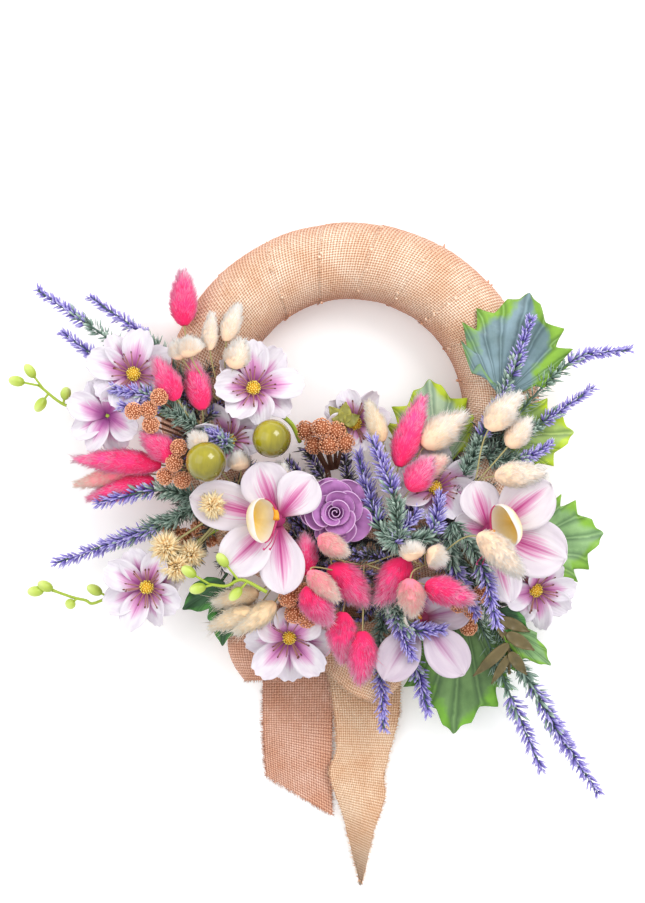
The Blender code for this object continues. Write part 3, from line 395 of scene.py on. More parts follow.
# Dry floral foam: chalky, with fine pores.
foam = new_material("dry_floral_foam")
pores = add(foam, "TexVoronoi", {"Scale": 900})
tone = add(foam, "ValToRGB", {"Fac": pores}, stops=[(0.0, "C9C0A8"), (0.6, "EFE9DB")])
pits = add(foam, "Bump", {"Height": pores, "Strength": 0.4, "Distance": 0.0003})
shade(foam, {"Base Color": tone, "Roughness": 0.95, "Normal": pits})
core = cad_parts["foam_core"]
core.data.materials.clear()
core.data.materials.append(foam)


# Bow. A ribbon of the same burlap, 5 cm wide, is tied below the flowers: two loops, a knot, a left tail cut
# off aslant and a right tail that twists to a point. Its cut edges fray all along.

RIBBON_WIDTH = 49
END_THREADS = 90
BOW_MIDDLE = (-18, -152)
LOOP_RISE = 2.5
LOOP_PINCH = 0.55
LOOP_DRAWN = 11
TAIL_RISE = 0.9
KNOT_WIDTH = 41
# Each loop has its heading in degrees and its side view, as ways out from the knot and up.
LOOPS = {
    "left": (180, [(2, 0), (30, -2), (52, -1), (62, 5), (60, 13), (44, 17), (22, 15), (2, 12)]),
    "right": (-20, [(2, 1), (30, 0), (48, 0), (58, 7), (55, 17), (40, 21), (20, 17), (2, 12)]),
}
# Each row of a tail is a point of its middle line, half its width across as a vector, and a lift.
BOW_TAILS = {
    "left": [(-29, -128, 21, 0, 2), (-33.5, -160, 23.5, 0, 1), (-34.5, -190, 23.5, 0, 0),
             (-34.8, -215, 23.2, 0, 2), (-34.5, -238, 22.5, -7, 0), (-33.5, -255, 22, -13, 1)],
    "right": [(-8, -128, 20, 0, 6), (7, -160, 23, 0, 5), (11, -198, 23.5, 0, 4), (8.5, -225, 21.3, 0, 6),
              (4.5, -240, 17.5, -1, 5), (6, -253, 18, -3, 4), (6, -280, 10, -4, 6), (7, -311, 1.2, -1, 2)],
}


def curve_through(points, step=2.0):
    """Points about a step apart on a smooth curve through the given ones."""
    given = [np.array(point, float) for point in points]
    given = [2 * given[0] - given[1]] + given + [2 * given[-1] - given[-2]]
    line = []
    for a, b, c, d in zip(given, given[1:], given[2:], given[3:]):
        count = max(2, int(np.linalg.norm(c - b) / step))
        for t in np.arange(count) / count:
            bend = (2 * a - 5 * b + 4 * c - d) * t**2 + (3 * b - a - 3 * c + d) * t**3
            line.append((2 * b + (c - a) * t + bend) / 2)
    line.append(given[-2])
    return np.array(line)


def shares_of(line):
    """How far along each point of a line is, as a share of its length, and that length."""
    along = np.concatenate([[0], np.cumsum(np.linalg.norm(np.diff(line, axis=0), axis=1))])
    return along / along[-1], along[-1]


def at_share(line, shares, v):
    """What a line's columns hold at other shares of its length."""
    return np.column_stack([np.interp(v, shares, line[:, i]) for i in range(line.shape[1])])


def ribbon(middles, halves, material, drawn=None):
    """A woven ribbon along a middle line, with the vector from it to one edge at each of its points. Where
    its edges are drawn back from a fold, a third vector tells how far."""
    shares, length = shares_of(middles)
    drawn = np.zeros_like(middles) if drawn is None else drawn

    def surface(across, along):
        centre, half = at_share(middles, shares, along), at_share(halves, shares, along)
        ripple = 0.9 * np.sin(along * length / 9) * np.sin(across * 5 + 1)
        w = (2 * across - 1)[:, None]
        return centre + half * w + at_share(drawn, shares, along) * w**2 + np.outer(ripple, (0, 0, 1))

    width = round(RIBBON_WIDTH / THREAD)
    cloth = (*woven(width, round(length / THREAD), surface), material)
    count = int(length * 4)
    spots, edge = rng.random(count), np.where(rng.random(count) < 0.5, 0.0, 1.0)
    roots = surface(edge, spots)
    leans = unit(at_share(halves, shares, spots) * (2 * edge - 1)[:, None]) + rng.normal(0, 0.4, (count, 3))
    sizes = sized(0.25, 0.25, rng.uniform(0.8, 3.2, count))
    frays = scattered(SPIKE, roots, leans, sizes, (spots * 20, rng.random(count)), material)

    # Threads that hang from the cut end.
    edge, last = rng.random(END_THREADS), np.ones(END_THREADS)
    roots = surface(edge, last)
    leans = unit(roots - surface(edge, last * 0.98)) + rng.normal(0, 0.25, (END_THREADS, 3))
    sizes = sized(0.3, 0.3, rng.uniform(1.2, 4, END_THREADS))
    fringe = scattered(SPIKE, roots, leans, sizes, (edge * 20, rng.random(END_THREADS)), material)
    return [cloth, frays, fringe], length


def span_of(node):
    """The lowest and the highest height of a CAD node in ring millimetres."""
    low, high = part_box(node)
    return low.z * 1000, high.z * 1000


loop_rise = span_of("bow_loops")[0] + LOOP_RISE
tail_rise = span_of("bow_tails")[0] + TAIL_RISE
for side, (heading, path) in LOOPS.items():
    ahead = np.array([math.cos(math.radians(heading)), math.sin(math.radians(heading)), 0])
    aside = np.array([-ahead[1], ahead[0], 0])
    route = curve_through(path, 3)
    middles = np.array([*BOW_MIDDLE, loop_rise]) + ahead * route[:, :1] + [0, 0, 1] * route[:, 1:]
    pinch = LOOP_PINCH + (1 - LOOP_PINCH) * np.clip(route[:, 0] / 28, 0, 1)
    # The left loop takes the darker copy of the jute as painted shade.
    finish = shaded_burlap if side == "left" else burlap
    drawn = -ahead * LOOP_DRAWN * (route[:, :1] / route[:, 0].max()) ** 4
    parts, length = ribbon(middles, aside * (RIBBON_WIDTH / 2 * pinch)[:, None], finish, drawn)
    made = piece(f"burlap_bow_loop_{side}", parts, "bow_loops")
for side, rows in BOW_TAILS.items():
    route = curve_through([(x, y, z + tail_rise) for x, y, _, _, z in rows], 3)
    halves = curve_through([(dx, dy, 0) for _, _, dx, dy, _ in rows], 3)
    halves = at_share(halves, np.linspace(0, 1, len(halves)), np.linspace(0, 1, len(route)))
    # The left tail takes the darker copy of the jute as painted shade.
    parts, length = ribbon(route, halves, shaded_burlap if side == "left" else burlap)
    made = piece(f"burlap_bow_tail_{side}", parts, "bow_tails")


def knot(across, along):
    """The turn of ribbon that gathers the loops."""
    turn = along * math.tau
    x = BOW_MIDDLE[0] + 12.5 * np.cos(turn) * (0.85 + 0.3 * np.abs(across - 0.5))
    z = loop_rise + 7 + 9.5 * np.sin(turn)
    return np.column_stack([x, KNOT_WIDTH * across - 168, z])


made = piece("burlap_bow_knot", [(*woven(24, 38, knot), burlap)], "bow_loops")


# Leaves. Preserved maple-like leaves with toothed rims, folded a little along the rib: a large blue-grey one
# at the top right, a yellow-green one and three green ones tucked under the flowers. Small dark and olive
# leaves stand in sprigs.

# Each leaf has the foot of its blade, its tip, half its width, its teeth and where its stalk ends.
LEAVES = {
    "leaf_blue_top_right": ((98, 10), (117, 77), 33, 9, (92, -14)),
    "leaf_yellow_right": ((98, -16), (146, -14), 22, 7, (84, -22)),
    "leaf_green_right": ((112, -88), (166, -80), 26, 9, (92, -70)),
    "leaf_green_lower_right": ((74, -128), (68, -212), 34, 11, (62, -100)),
    "leaf_green_top": ((56, -38), (52, 21), 28, 9, (58, -58)),
}
LEAF_THICKNESS = 0.6
DROOP = 0.12
NUBS_CLEARED = 3.5


def solid(node):
    """A CAD node's surface in ring millimetres, from which a piece takes its heights."""
    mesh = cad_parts[node].data
    to_ring = IN_FRAME.inverted()
    return BVHTree.FromPolygons([to_ring @ v.co for v in mesh.vertices], [p.vertices for p in mesh.polygons])


def layers(tree, x, y):
    """The (bottom, top) of each layer of a solid above a point, from the top down."""
    found, start = [], 150.0
    while True:
        hit = tree.ray_cast(Vector((x, y, start)), Vector((0, 0, -1)))[0]
        if hit is None:
            return list(zip(found[1::2], found[::2]))
        found.append(hit.z)
        start = hit.z - 0.02


def followed(tree, route):
    """A route's points at the middle height of the strand of a solid that runs along it."""
    heights = []
    for x, y in route:
        middles = [(low + high) / 2 for low, high in layers(tree, x, y)]
        before = [z for z in heights if z is not None]
        if not middles:
            heights.append(None)
        elif not before:
            heights.append(middles[0])
        else:
            heights.append(min(middles, key=lambda z: abs(z - before[-1])))
    known = [i for i, z in enumerate(heights) if z is not None]
    z = np.interp(range(len(route)), known, [heights[i] for i in known])
    padded = np.pad(z, 2, mode="edge")
    z = np.convolve(padded, np.ones(5) / 5, mode="valid")
    return np.column_stack([route, z])


def blade(across, along, surface, thickness, material, tone=0.5):
    """A thin closed blade over a surface of two shares. It tells the material the share of the half width,
    the share of the length and a tone."""
    bm = bmesh.new()
    bmesh.ops.create_grid(bm, x_segments=across, y_segments=along, size=0.5)
    bmesh.ops.solidify(bm, geom=bm.faces[:], thickness=0.01)
    grid, faces = read(as_mesh("blade", bm))
    u, v = grid[:, 0] + 0.5, grid[:, 1] + 0.5
    side = (grid[:, 2] - grid[:, 2].mean()) / np.ptp(grid[:, 2])
    inner_u, inner_v = u.clip(0.001, 0.998), v.clip(0.001, 0.998)
    points, step = surface(u, v), 1e-3
    start = surface(inner_u, inner_v)
    aside, ahead = surface(inner_u + step, inner_v) - start, surface(inner_u, inner_v + step) - start
    points = points + unit(np.cross(aside, ahead)) * (side * thickness)[:, None]
    spots = np.column_stack([2 * u - 1, v, np.full(len(u), tone)])

    # Where the blade runs out to a point, its corners are drawn together.
    _, first, merged = np.unique(np.round(points, 3), axis=0, return_index=True, return_inverse=True)
    faces = merged.reshape(-1)[faces]
    whole = (faces != np.roll(faces, 1, axis=1)).all(axis=1)
    return points[first], faces[whole], spots[first], material


def stems(lines, material, tone=0.5, resolution=1):
    """Round stems along lines of points, each with the radius at every point."""
    curve = bpy.data.curves.new("stems", "CURVE")
    curve.dimensions = "3D"
    curve.bevel_depth = 1
    curve.bevel_resolution = resolution
    curve.use_fill_caps = True
    for line, radii in lines:
        spline = curve.splines.new("POLY")
        spline.points.add(len(line) - 1)
        spline.points.foreach_set("co", np.column_stack([line, np.ones(len(line))]).ravel())
        spline.points.foreach_set("radius", np.broadcast_to(radii, len(line)).astype(float))
    holder = bpy.data.objects.new("stems", curve)
    bpy.context.scene.collection.objects.link(holder)
    made = bpy.data.meshes.new_from_object(holder.evaluated_get(bpy.context.evaluated_depsgraph_get()))
    bpy.data.objects.remove(holder)
    bm = bmesh.new()
    bm.from_mesh(made)
    bmesh.ops.remove_doubles(bm, verts=bm.verts[:], dist=1e-4)
    points, faces = read(as_mesh("stems", bm))
    return points, faces, np.full((len(points), 3), (0, 0.5, tone)), material


def leaf_material(name, heart, rim, vein, veins):
    """A preserved leaf: waxy, with pale veins and soft folds that fan out from its stalk, a band of painted
    shade beside each fold, a rim of another green and cloudy patches of 17 mm."""
    material = new_material(name)
    spot = add(material, "Attribute", attribute_name="spot", output="Vector")
    across, along, tone = add(material, "SeparateXYZ", {0: spot}, output=None)
    out = add(material, "Math", {0: across}, operation="ABSOLUTE")
    aside = add(material, "Math", {0: tone, 1: 0.45}, operation="MULTIPLY")
    ahead = add(material, "Math", {0: along, 1: 0.05}, operation="ADD")
    turn = add(material, "Math", {0: aside, 1: ahead}, operation="ARCTAN2")
    place = add(material, "TexCoord", output="Object")
    clouds = add(material, "TexNoise", {"Vector": place, "Scale": 60, "Detail": 7})
    wander = add(material, "Math", {0: clouds, 1: 0.3, 2: -0.15}, operation="MULTIPLY_ADD")
    fan = add(material, "Math", {0: turn, 1: veins, 2: wander}, operation="MULTIPLY_ADD")
    side_vein = add(material, "Math", {0: fan, 1: 0.5}, operation="PINGPONG")
    line = add(material, "Math", {0: side_vein, 1: ahead}, operation="MULTIPLY")
    green = add(material, "Math", {0: clouds, 1: 1.3, 2: -0.65}, operation="MULTIPLY_ADD")
    edge = add(material, "Math", {0: along, 1: 0.3, 2: green}, operation="MULTIPLY_ADD")
    edge = add(material, "Math", {0: across, 1: -0.1, 2: edge}, operation="MULTIPLY_ADD")
    edge = add(material, "Math", {0: out, 1: edge}, operation="ADD")
    body = add(material, "ValToRGB", {"Fac": edge}, stops=[(0.72, heart), (1.0, rim)])
    pale = add(material, "ValToRGB", {"Fac": line}, stops=[(0.0, "707070"), (0.045, "000000")])
    tinted = add(material, "MixRGB", {"Fac": pale, "Color1": body, "Color2": linear(vein)})
    # Painted shade: a darker band beside each fold.
    shadow = [(0.0, "FFFFFF"), (0.1, "A6B4B4"), (0.3, "FFFFFF")]
    fold_shade = add(material, "ValToRGB", {"Fac": side_vein}, stops=shadow)
    tinted = add(material, "MixRGB", {"Fac": 0.8, "Color1": tinted, "Color2": fold_shade}, blend_type="MULTIPLY")
    mottle = add(material, "ValToRGB", {"Fac": clouds}, stops=[(0.35, "A4B4A8"), (0.65, "FFFFFF")])
    mixed = add(material, "MixRGB", {"Fac": 0.7, "Color1": tinted, "Color2": mottle}, blend_type="MULTIPLY")
    folds = add(material, "Math", {0: clouds, 1: 1.2, 2: line}, operation="MULTIPLY_ADD")
    bump = add(material, "Bump", {"Height": folds, "Strength": 0.6, "Distance": 0.0012})
    return shade(material, {
        "Base Color": mixed, "Roughness": 0.42, "Specular IOR Level": 0.4, "Normal": bump,
    })


LEAF_FINISHES = {
    "leaf_blue_top_right": leaf_material("preserved_leaf_blue_grey", "7C96A0", "80AC34", "9FB8BC", 4.2),
    "leaf_yellow_right": leaf_material("preserved_leaf_yellow_green", "B2CC6A", "C2DC2A", "CCDD90", 3.4),
    "leaf_green_right": leaf_material("preserved_leaf_green", "94BC7C", "86B83A", "C0D8A8", 3.4),
    "leaf_green_lower_right": leaf_material("preserved_leaf_deep_green", "6C9054", "72AA32", "94B47C", 3.8),
    "leaf_green_top": leaf_material("preserved_leaf_pale_green", "B4CBA8", "BCCF22", "CEDDBC", 4.2),
}


def leaf_width(v):
    """The share of its greatest half width that a leaf has along its length."""
    v = v.clip(0, 1)
    return np.maximum(np.sin(math.pi * v**0.72), 0.0) ** 0.75 * (1 - 0.45 * ((v - 0.7) / 0.3).clip(0))


def leaf_blade(across, along, surface, material):
    """A leaf, whose material is told how far from the rib a point is in place of a tone."""
    points, faces, spots, _ = blade(across, along, surface, LEAF_THICKNESS, material)
    spots[:, 2] = spots[:, 0] * leaf_width(spots[:, 1])
    return points, faces, spots, material


def leaf_surface(base, tip, half_width, teeth, lift, droop=DROOP, jag=0.36):
    """A leaf's surface from base to tip. Each tooth juts out and points towards the tip."""
    base, tip = np.array(base, float), np.array(tip, float)
    length = math.dist(base, tip)
    ahead = (tip - base) / length
    aside = np.array([-ahead[1], ahead[0]])

    def surface(u, v):
        w = 2 * u - 1
        width = half_width * leaf_width(v) + 0.2
        saw = (v * (teeth + 1) / 2 + 0.25 + 0.12 * np.sign(w)) % 1
        cusp = np.where(saw < 0.7, (saw / 0.7) ** 1.5, ((1 - saw) / 0.3) ** 1.2)
        out = w * width * (1 + jag * (0.4 + 0.8 * v) * (cusp - 0.4) * np.abs(w) ** 3)
        forward = v * length + np.abs(w) ** 3 * half_width * 1.1 * jag * cusp * (1 - v)
        z = lift - droop * length * v**1.5 + 0.1 * np.abs(out) + 0.8 * np.sin(v * 17) * w**2
        return np.column_stack([base + np.outer(out, aside) + np.outer(forward, ahead), z])

    return surface


def leaf_lift(tree, base, tip, droop=DROOP):
    """How high the CAD leaf's plane lies at its base."""
    base, tip = np.array(base, float), np.array(tip, float)
    for share in (0.5, 0.35, 0.65, 0.25):
        found = layers(tree, *(base + (tip - base) * share))
        if found:
            return found[0][1] + droop * math.dist(base, tip) * share**1.5
    return 40


for node, (base, tip, half_width, teeth, root) in LEAVES.items():
    tree = solid(node)
    lift = leaf_lift(tree, base, tip)
    if node == "leaf_blue_top_right":
        lift += NUBS_CLEARED
    surface = leaf_surface(base, tip, half_width, teeth, lift)
    body = leaf_blade(18, (teeth + 1) * 8, surface, LEAF_FINISHES[node])
    stalk = followed(tree, curve_through([root, tuple(np.array(base) * 0.9 + np.array(tip) * 0.1)]))
    piece(node + "_dressed", [body, stems([(stalk, 1.0)], LEAF_FINISHES[node])], node)


def small_leaf(tree, base, tip, half_width, teeth, droop, material, jag=0.2, raised=0):
    """A leaf of a sprig, at its CAD leaf's height or so far above it."""
    lift = leaf_lift(tree, base, tip, droop) + raised
    surface = leaf_surface(base, tip, half_width, teeth, lift, droop, jag)
    return leaf_blade(10, 30, surface, material)


dark_leaf = leaf_material("preserved_leaf_dark_green", "35613A", "4A8A3C", "5D8560", 3)
olive_leaf = leaf_material("dried_leaf_olive_brown", "6A5A36", "766640", "8E8054", 0)

tree = solid("leaves_lower_left")
parts = []
for base, tip, half_width in [((-82, -112), (-110, -130), 10), ((-80, -116), (-84, -154), 11)]:
    parts.append(small_leaf(tree, base, tip, half_width, 5, 0.3, dark_leaf))
    inner = tuple(np.array(base) * 0.8 + np.array(tip) * 0.2)
    parts.append(stems([(followed(tree, curve_through([(-70, -92), inner])), 1.0)], dark_leaf))
piece("dark_leaves_lower_left", parts, "leaves_lower_left")

SPRIG_STEM = [(104, -172), (100, -140), (72, -90)]
SPRIG_LEAVES = [
    ((99, -128), (116, -143), 8),
    ((107, -138), (131, -166), 9),
    ((96, -136), (117, -144), 3.6),
    ((96, -147), (120, -156), 4),
    ((95, -152), (80, -173), 3.6),
    ((98, -158), (115, -172), 3.6),
    ((96, -159), (92, -178), 2.6),
    ((90, -134), (102, -151), 4),
]
# The first two leaves are green and toothed. The others are olive, smooth and stand a little higher.
SPRIG_FINISHES = {0: (dark_leaf, 0.2, 2), 1: (LEAF_FINISHES["leaf_green_right"], 0.36, 0)}
tree = solid("sprig_lower_right")
route = followed(tree, curve_through(SPRIG_STEM))
parts = [stems([(route, 1.0)], olive_leaf)]
for i, (base, tip, half_width) in enumerate(SPRIG_LEAVES):
    start = route[np.argmin(np.linalg.norm(route[:, :2] - base, axis=1))]
    finish, jag, raised = SPRIG_FINISHES.get(i, (olive_leaf, 0, 5))
    parts.append(small_leaf(tree, start[:2], tip, half_width, 5, 0.1, finish, jag, raised))
piece("leafy_sprig_lower_right", parts, "sprig_lower_right")

tree = solid("sprig_top")
mossy_leaf = leaf_material("dried_leaf_olive_green", "8E8834", "A8A040", "B8B060", 0)
parts = []
for tip in ((-14, 3), (-3, 6), (6, -3)):
    parts.append(small_leaf(tree, (-4, -8), tip, 4.2, 3, 0.1, mossy_leaf, 0, 3))
parts.append(stems([(followed(tree, curve_through([(-2, -16), (-4, -7)], 1)), 0.8)], mossy_leaf))
piece("olive_leaves_top", parts, "sprig_top")


# Lavender. Each stem carries a spike of small violet florets in whorls, then short grey-green leaves, then
# needle leaves down to where the bunch is tied. Short shoots fill the gaps between the bunches, painted nearly
# black as the shade deep among them.

# Each bunch has the place where it is tied, and the tip and the foot of each spike. A whole number after
# them lifts that strand clear of the flowers beside it.
LAVENDER = {
    "lavender_upper_left": ((-103, 10), [
        ((-206, 80), (-172, 57)), ((-171, 75), (-132, 47)), ((-189, 52), (-158, 30)),
    ]),
    "lavender_left": ((-95, -58), [
        ((-164, -60), (-126, -51), 16), ((-194, -100), (-140, -80)), ((-161, -88), (-124, -76)),
    ]),
    "lavender_lower_right": ((66, -90), [
        ((126, -236), (104, -185)), ((164, -252), (128, -196)), ((154, -238), (118, -178)),
    ]),
    "lavender_right": ((88, -30), [
        ((182, 40), (140, 30)), ((158, 15), (124, -8)), ((130, -22), (110, -32)),
    ]),
    "lavender_low_centre": ((24, -112), [
        ((22, -208), (19, -160)), ((51, -198), (42, -162)),
        ((40, -160), (28, -132), 16), ((60, -142), (36, -140), 16),
    ]),
    "lavender_right_top": ((74, -42), [((117, 60), (104, 22)), ((103, 17), (84, -18))]),
    "lavender_left_mid": ((-100, -10), [
        ((-153, 14), (-126, 9)), ((-148, 3), (-122, 1)), ((-92, -13), (-80, -22)),
    ]),
    "lavender_centre": ((31, -84), [
        ((14, -19), (28, -55)), ((5, -28), (17, -74)), ((43, -66), (26, -86)), ((58, -55), (53, -80)),
    ]),
    "lavender_right_low": ((66, -72), [((94, -138), (84, -98)), ((82, -132), (66, -100))]),
}
TIE_SPACING = 3.2


def bunch(node, root, strands):
    """The lines of a bunch's strands, from their tips to where they are tied side by side. Each comes with
    its points' shares of its length, the share that is its head, and the strand's own last value."""
    root, tree = np.array(root, float), solid(node)
    outward = sum(np.array(strand[1]) - root for strand in strands)
    across = np.array([-outward[1], outward[0]]) / np.linalg.norm(outward)
    ordered = sorted(strands, key=lambda strand: (np.array(strand[1]) - root) @ across)
    lines = []
    for i, strand in enumerate(ordered):
        end = root + across * (i - (len(ordered) - 1) / 2) * TIE_SPACING
        line = followed(tree, curve_through([strand[0], strand[1], tuple(end)]))
        shares, length = shares_of(line)
        line[:, :2] += (root - end) * 0.6 * (shares**2)[:, None]
        lines.append((line, shares, math.dist(strand[0], strand[1]) / length, strand[-1]))
    return lines


def frames_on(line, shares, places):
    """Points of a line at some shares of it, the way towards its start there, and two ways square to it."""
    before, beyond = (places - 0.02).clip(0), (places + 0.02).clip(0, 1)
    toward = unit(at_share(line, shares, before) - at_share(line, shares, beyond))
    side = unit(np.cross(toward, (0, 0, 1.0)))
    return at_share(line, shares, places), toward, side, np.cross(side, toward)


def around_line(line, shares, places):
    """Points of a line at some shares of it, the way towards its start there, and a random way out of it."""
    spots, toward, side, up = frames_on(line, shares, places)
    turn = rng.random(len(places)) * math.tau
    return spots, toward, side * np.cos(turn)[:, None] + up * np.sin(turn)[:, None]


def tinted_material(name, colours, roughness=0.7, grain=900, relief=0.0002):
    """Plant matter whose colour runs from its root to its tip and differs a little from piece to piece."""
    material = new_material(name)
    spot = add(material, "Attribute", attribute_name="spot", output="Vector")
    share, _, tone = add(material, "SeparateXYZ", {0: spot}, output=None)
    place = add(material, "TexCoord", output="Object")
    specks = add(material, "TexNoise", {"Vector": place, "Scale": grain, "Detail": 2})
    shift = add(material, "Math", {0: tone, 1: 0.35, 2: -0.17}, operation="MULTIPLY_ADD")
    moved = add(material, "Math", {0: share, 1: shift}, operation="ADD")
    wander = add(material, "Math", {0: specks, 1: 0.3, 2: -0.15}, operation="MULTIPLY_ADD")
    blend = add(material, "Math", {0: moved, 1: wander}, operation="ADD")
    colour = add(material, "ValToRGB", {"Fac": blend}, stops=colours)
    bump = add(material, "Bump", {"Height": specks, "Strength": 0.5, "Distance": relief})
    return shade(material, {"Base Color": colour, "Roughness": roughness, "Normal": bump})


def small_ball(rings):
    """A small ball that stands on its lower pole. The fewer its rings, the more it is like a needle."""
    bm = bmesh.new()
    up = Matrix.Translation((0, 0, 0.5))
    bmesh.ops.create_uvsphere(bm, u_segments=4, v_segments=rings, radius=0.5, matrix=up)
    return template(bm)


BUDLET, NEEDLE = small_ball(3), small_ball(2)

# Dried lavender: violet florets with paler mouths and grey-green leaves, all matt. The shoots' leaves are
# painted nearly black as the shade deep in the bed.
floret = tinted_material("dried_lavender_floret", [(0.05, "54479C"), (0.45, "877ACA"), (1.0, "C6BFEC")])
dusty_green = tinted_material("dried_lavender_leaf", [(0.1, "4C6558"), (0.6, "86A092"), (1.0, "BDCFC2")])
bed_shade_green = tinted_material("shade_darkened_lavender_leaf", [(0.1, "332E32"), (0.6, "5C605C"), (1.0, "A0A8A2")])
# How much larger than usual some bunches' florets are.
LARGER = {
    "lavender_lower_right": 1.3, "lavender_centre": 1.4, "lavender_right_low": 1.4, "lavender_low_centre": 1.2,
    "lavender_right_top": 1.1, "lavender_left_mid": 1.2, "lavender_left": 1.25,
}
WHORLS = 19
FLORETS = 150
LEAFLETS = 34
NEEDLES = 160
# The short shoots beside each bunch, each from its tip to its root.
SHOOTS = {
    "lavender_centre": [
        (-30, -92, 14, -84), (60, -98, 34, -90), (52, -112, 34, -92), (14, -70, 30, -88), (-30, -24, -14, -50),
        (-42, -34, -22, -52), (-4, -30, 0, -52), (10, -50, 24, -76), (40, -60, 34, -84), (36, -100, 14, -84),
        (-42, -66, -22, -84), (-34, -70, -20, -90), (-40, -78, -24, -92), (-40, -92, -14, -96),
        (-24, -82, 0, -94), (-6, -92, 16, -96), (8, -92, 34, -102), (-30, -44, -50, -58),
    ],
    "lavender_low_centre": [
        (-20, -112, 12, -106), (-8, -126, 12, -112), (4, -142, 20, -116), (40, -134, 26, -114),
        (58, -122, 34, -114), (22, -140, 24, -118), (-24, -104, 0, -98), (26, -112, 0, -104),
    ],
    "lavender_left": [
        (-126, -52, -98, -58), (-118, -72, -92, -62), (-98, -88, -86, -66), (-70, -76, -84, -58),
        (-72, -46, -88, -54), (-60, -92, -78, -70), (-104, -100, -92, -76), (-84, -104, -78, -80),
        (-112, -60, -90, -50), (-54, -104, -66, -82),
    ],
    "lavender_left_mid": [
        (-118, -22, -98, -14), (-110, 12, -98, -6), (-84, 6, -96, -8), (-88, -34, -98, -12),
        (-112, -36, -100, -16), (-74, -26, -92, -14), (-62, -40, -80, -30),
    ],
    "lavender_right_top": [
        (96, -8, 78, -38), (84, -10, 76, -40), (62, -20, 72, -44), (56, -62, 74, -46), (92, -52, 76, -44),
    ],
    "lavender_right": [(112, -38, 90, -32), (108, -14, 88, -28), (100, 2, 88, -26)],
    "lavender_right_low": [
        (92, -92, 70, -76), (84, -106, 68, -78), (46, -80, 66, -74), (100, -70, 72, -70), (74, -120, 66, -84),
        (54, -88, 68, -66), (60, -104, 64, -78),
    ],
    "lavender_upper_left": [(-128, 34, -106, 14), (-118, 26, -102, 10), (-92, 28, -100, 8)],
    "lavender_lower_right": [(98, -126, 72, -94), (108, -142, 80, -104), (86, -116, 70, -92)],
}
FLOWERING = ("lavender_centre", "lavender_low_centre", "lavender_right_low", "lavender_left_mid")
BED_HEIGHT = 4
OVER_THE_HOLE = 20
SHOOT_NEEDLES = 4
SHOOT_FLORETS = 1.8


def bed_height(x, y):
    """How high the shoots lie: on the ring where it is below them, and else at its middle."""
    below = layers(ring_tree, x, y)
    return (below[0][1] if below else OVER_THE_HOLE) + BED_HEIGHT


def leafy_shoot(tip, root, flowering):
    """A short shoot that lies along the ring, with so many needles to a millimetre. Some carry florets."""
    ends = [np.array([*place, bed_height(*place)]) for place in (tip, root)]
    line = curve_through([ends[0], (ends[0] + ends[1]) / 2 + (0, 0, 2), ends[1]])
    shares, length = shares_of(line)
    count = int(length * SHOOT_NEEDLES)
    places = rng.random(count)
    roots, toward, out = around_line(line, shares, places)
    sizes = sized(1.0, 0.5, rng.uniform(5, 10, count))
    ways = toward * rng.uniform(0.3, 1.1, (count, 1)) + out + (0, 0, 0.4)
    told = (places, rng.random(count))
    # The shoot's needles and stem are painted nearly black as shade.
    made = [scattered(NEEDLE, roots, ways, sizes, told, bed_shade_green), stems([(line, 0.8)], bed_shade_green)]
    if flowering:
        count = int(length * SHOOT_FLORETS)
        places = rng.random(count) * 0.7
        roots, toward, out = around_line(line, shares, places)
        sizes = sized(1.4, 1.1, rng.uniform(3, 6, count))
        ways = toward + out + (0, 0, 0.6)
        made.append(scattered(BUDLET, roots + out * 1.5, ways, sizes, (places, rng.random(count)), floret))
    return made


def lavender_strand(line, shares, head, large):
    """A spike of florets in whorls over its head, leaflets round its foot, needles below, and its stem."""
    whorl = (np.arange(FLORETS) % WHORLS + rng.normal(0, 0.16, FLORETS)) / (WHORLS - 1)
    down = whorl.clip(0, 1)
    roots, toward, out = around_line(line, shares, (0.02 + 0.96 * down) * head)
    ways = toward * (1.0 - 0.25 * down)[:, None] + out * (0.75 + 0.5 * down)[:, None]
    ways += rng.normal(0, 0.15, (FLORETS, 3))
    long = large * (4.4 + 2.2 * down + rng.normal(0, 0.9, FLORETS))
    sizes = np.column_stack([1.25 + 0.35 * down, 1.0 + 0.25 * down, long])
    florets = scattered(BUDLET, roots + out * 0.4, ways, sizes, (down, rng.random(FLORETS)), floret)

    down = rng.uniform(head * 0.75, min(head * 1.5, 1), LEAFLETS)
    roots, toward, out = around_line(line, shares, down)
    sizes = sized(2.6, 0.9, large * rng.uniform(5, 9, LEAFLETS))
    told = (down, rng.random(LEAFLETS))
    leaflets = scattered(BUDLET, roots, toward + out * 0.9, sizes, told, dusty_green)

    down = rng.uniform(min(head * 1.15, 0.9), 1, NEEDLES)
    roots, toward, out = around_line(line, shares, down)
    sizes = sized(1.1, 0.5, rng.uniform(6, 12, NEEDLES))
    ways = toward * rng.uniform(0.3, 1.2, (NEEDLES, 1)) + out + (0, 0, 0.25)
    needles = scattered(NEEDLE, roots, ways, sizes, (down, rng.random(NEEDLES)), dusty_green)
    return [florets, leaflets, needles, stems([(line, 0.7)], dusty_green)]


ring_tree = solid("burlap_wrap")
for node, (root, strands) in LAVENDER.items():
    parts = []
    large = LARGER.get(node, 1.0)
    for line, shares, head, last in bunch(node, root, strands):
        if isinstance(last, int):
            line[:, 2] += last * (1 - shares**4)
        parts += lavender_strand(line, shares, head, large)
    for x, y, from_x, from_y in SHOOTS[node]:
        parts += leafy_shoot((x, y), (from_x, from_y), node in FLOWERING)
    piece(node + "_spikes", parts, node)


# Bunny tails. Dried hare's-tail grass: a soft core from which thousands of fine hairs point forward. Some
# are dyed crimson pink or blush, others are left cream. Their thin stems are tied in bunches.

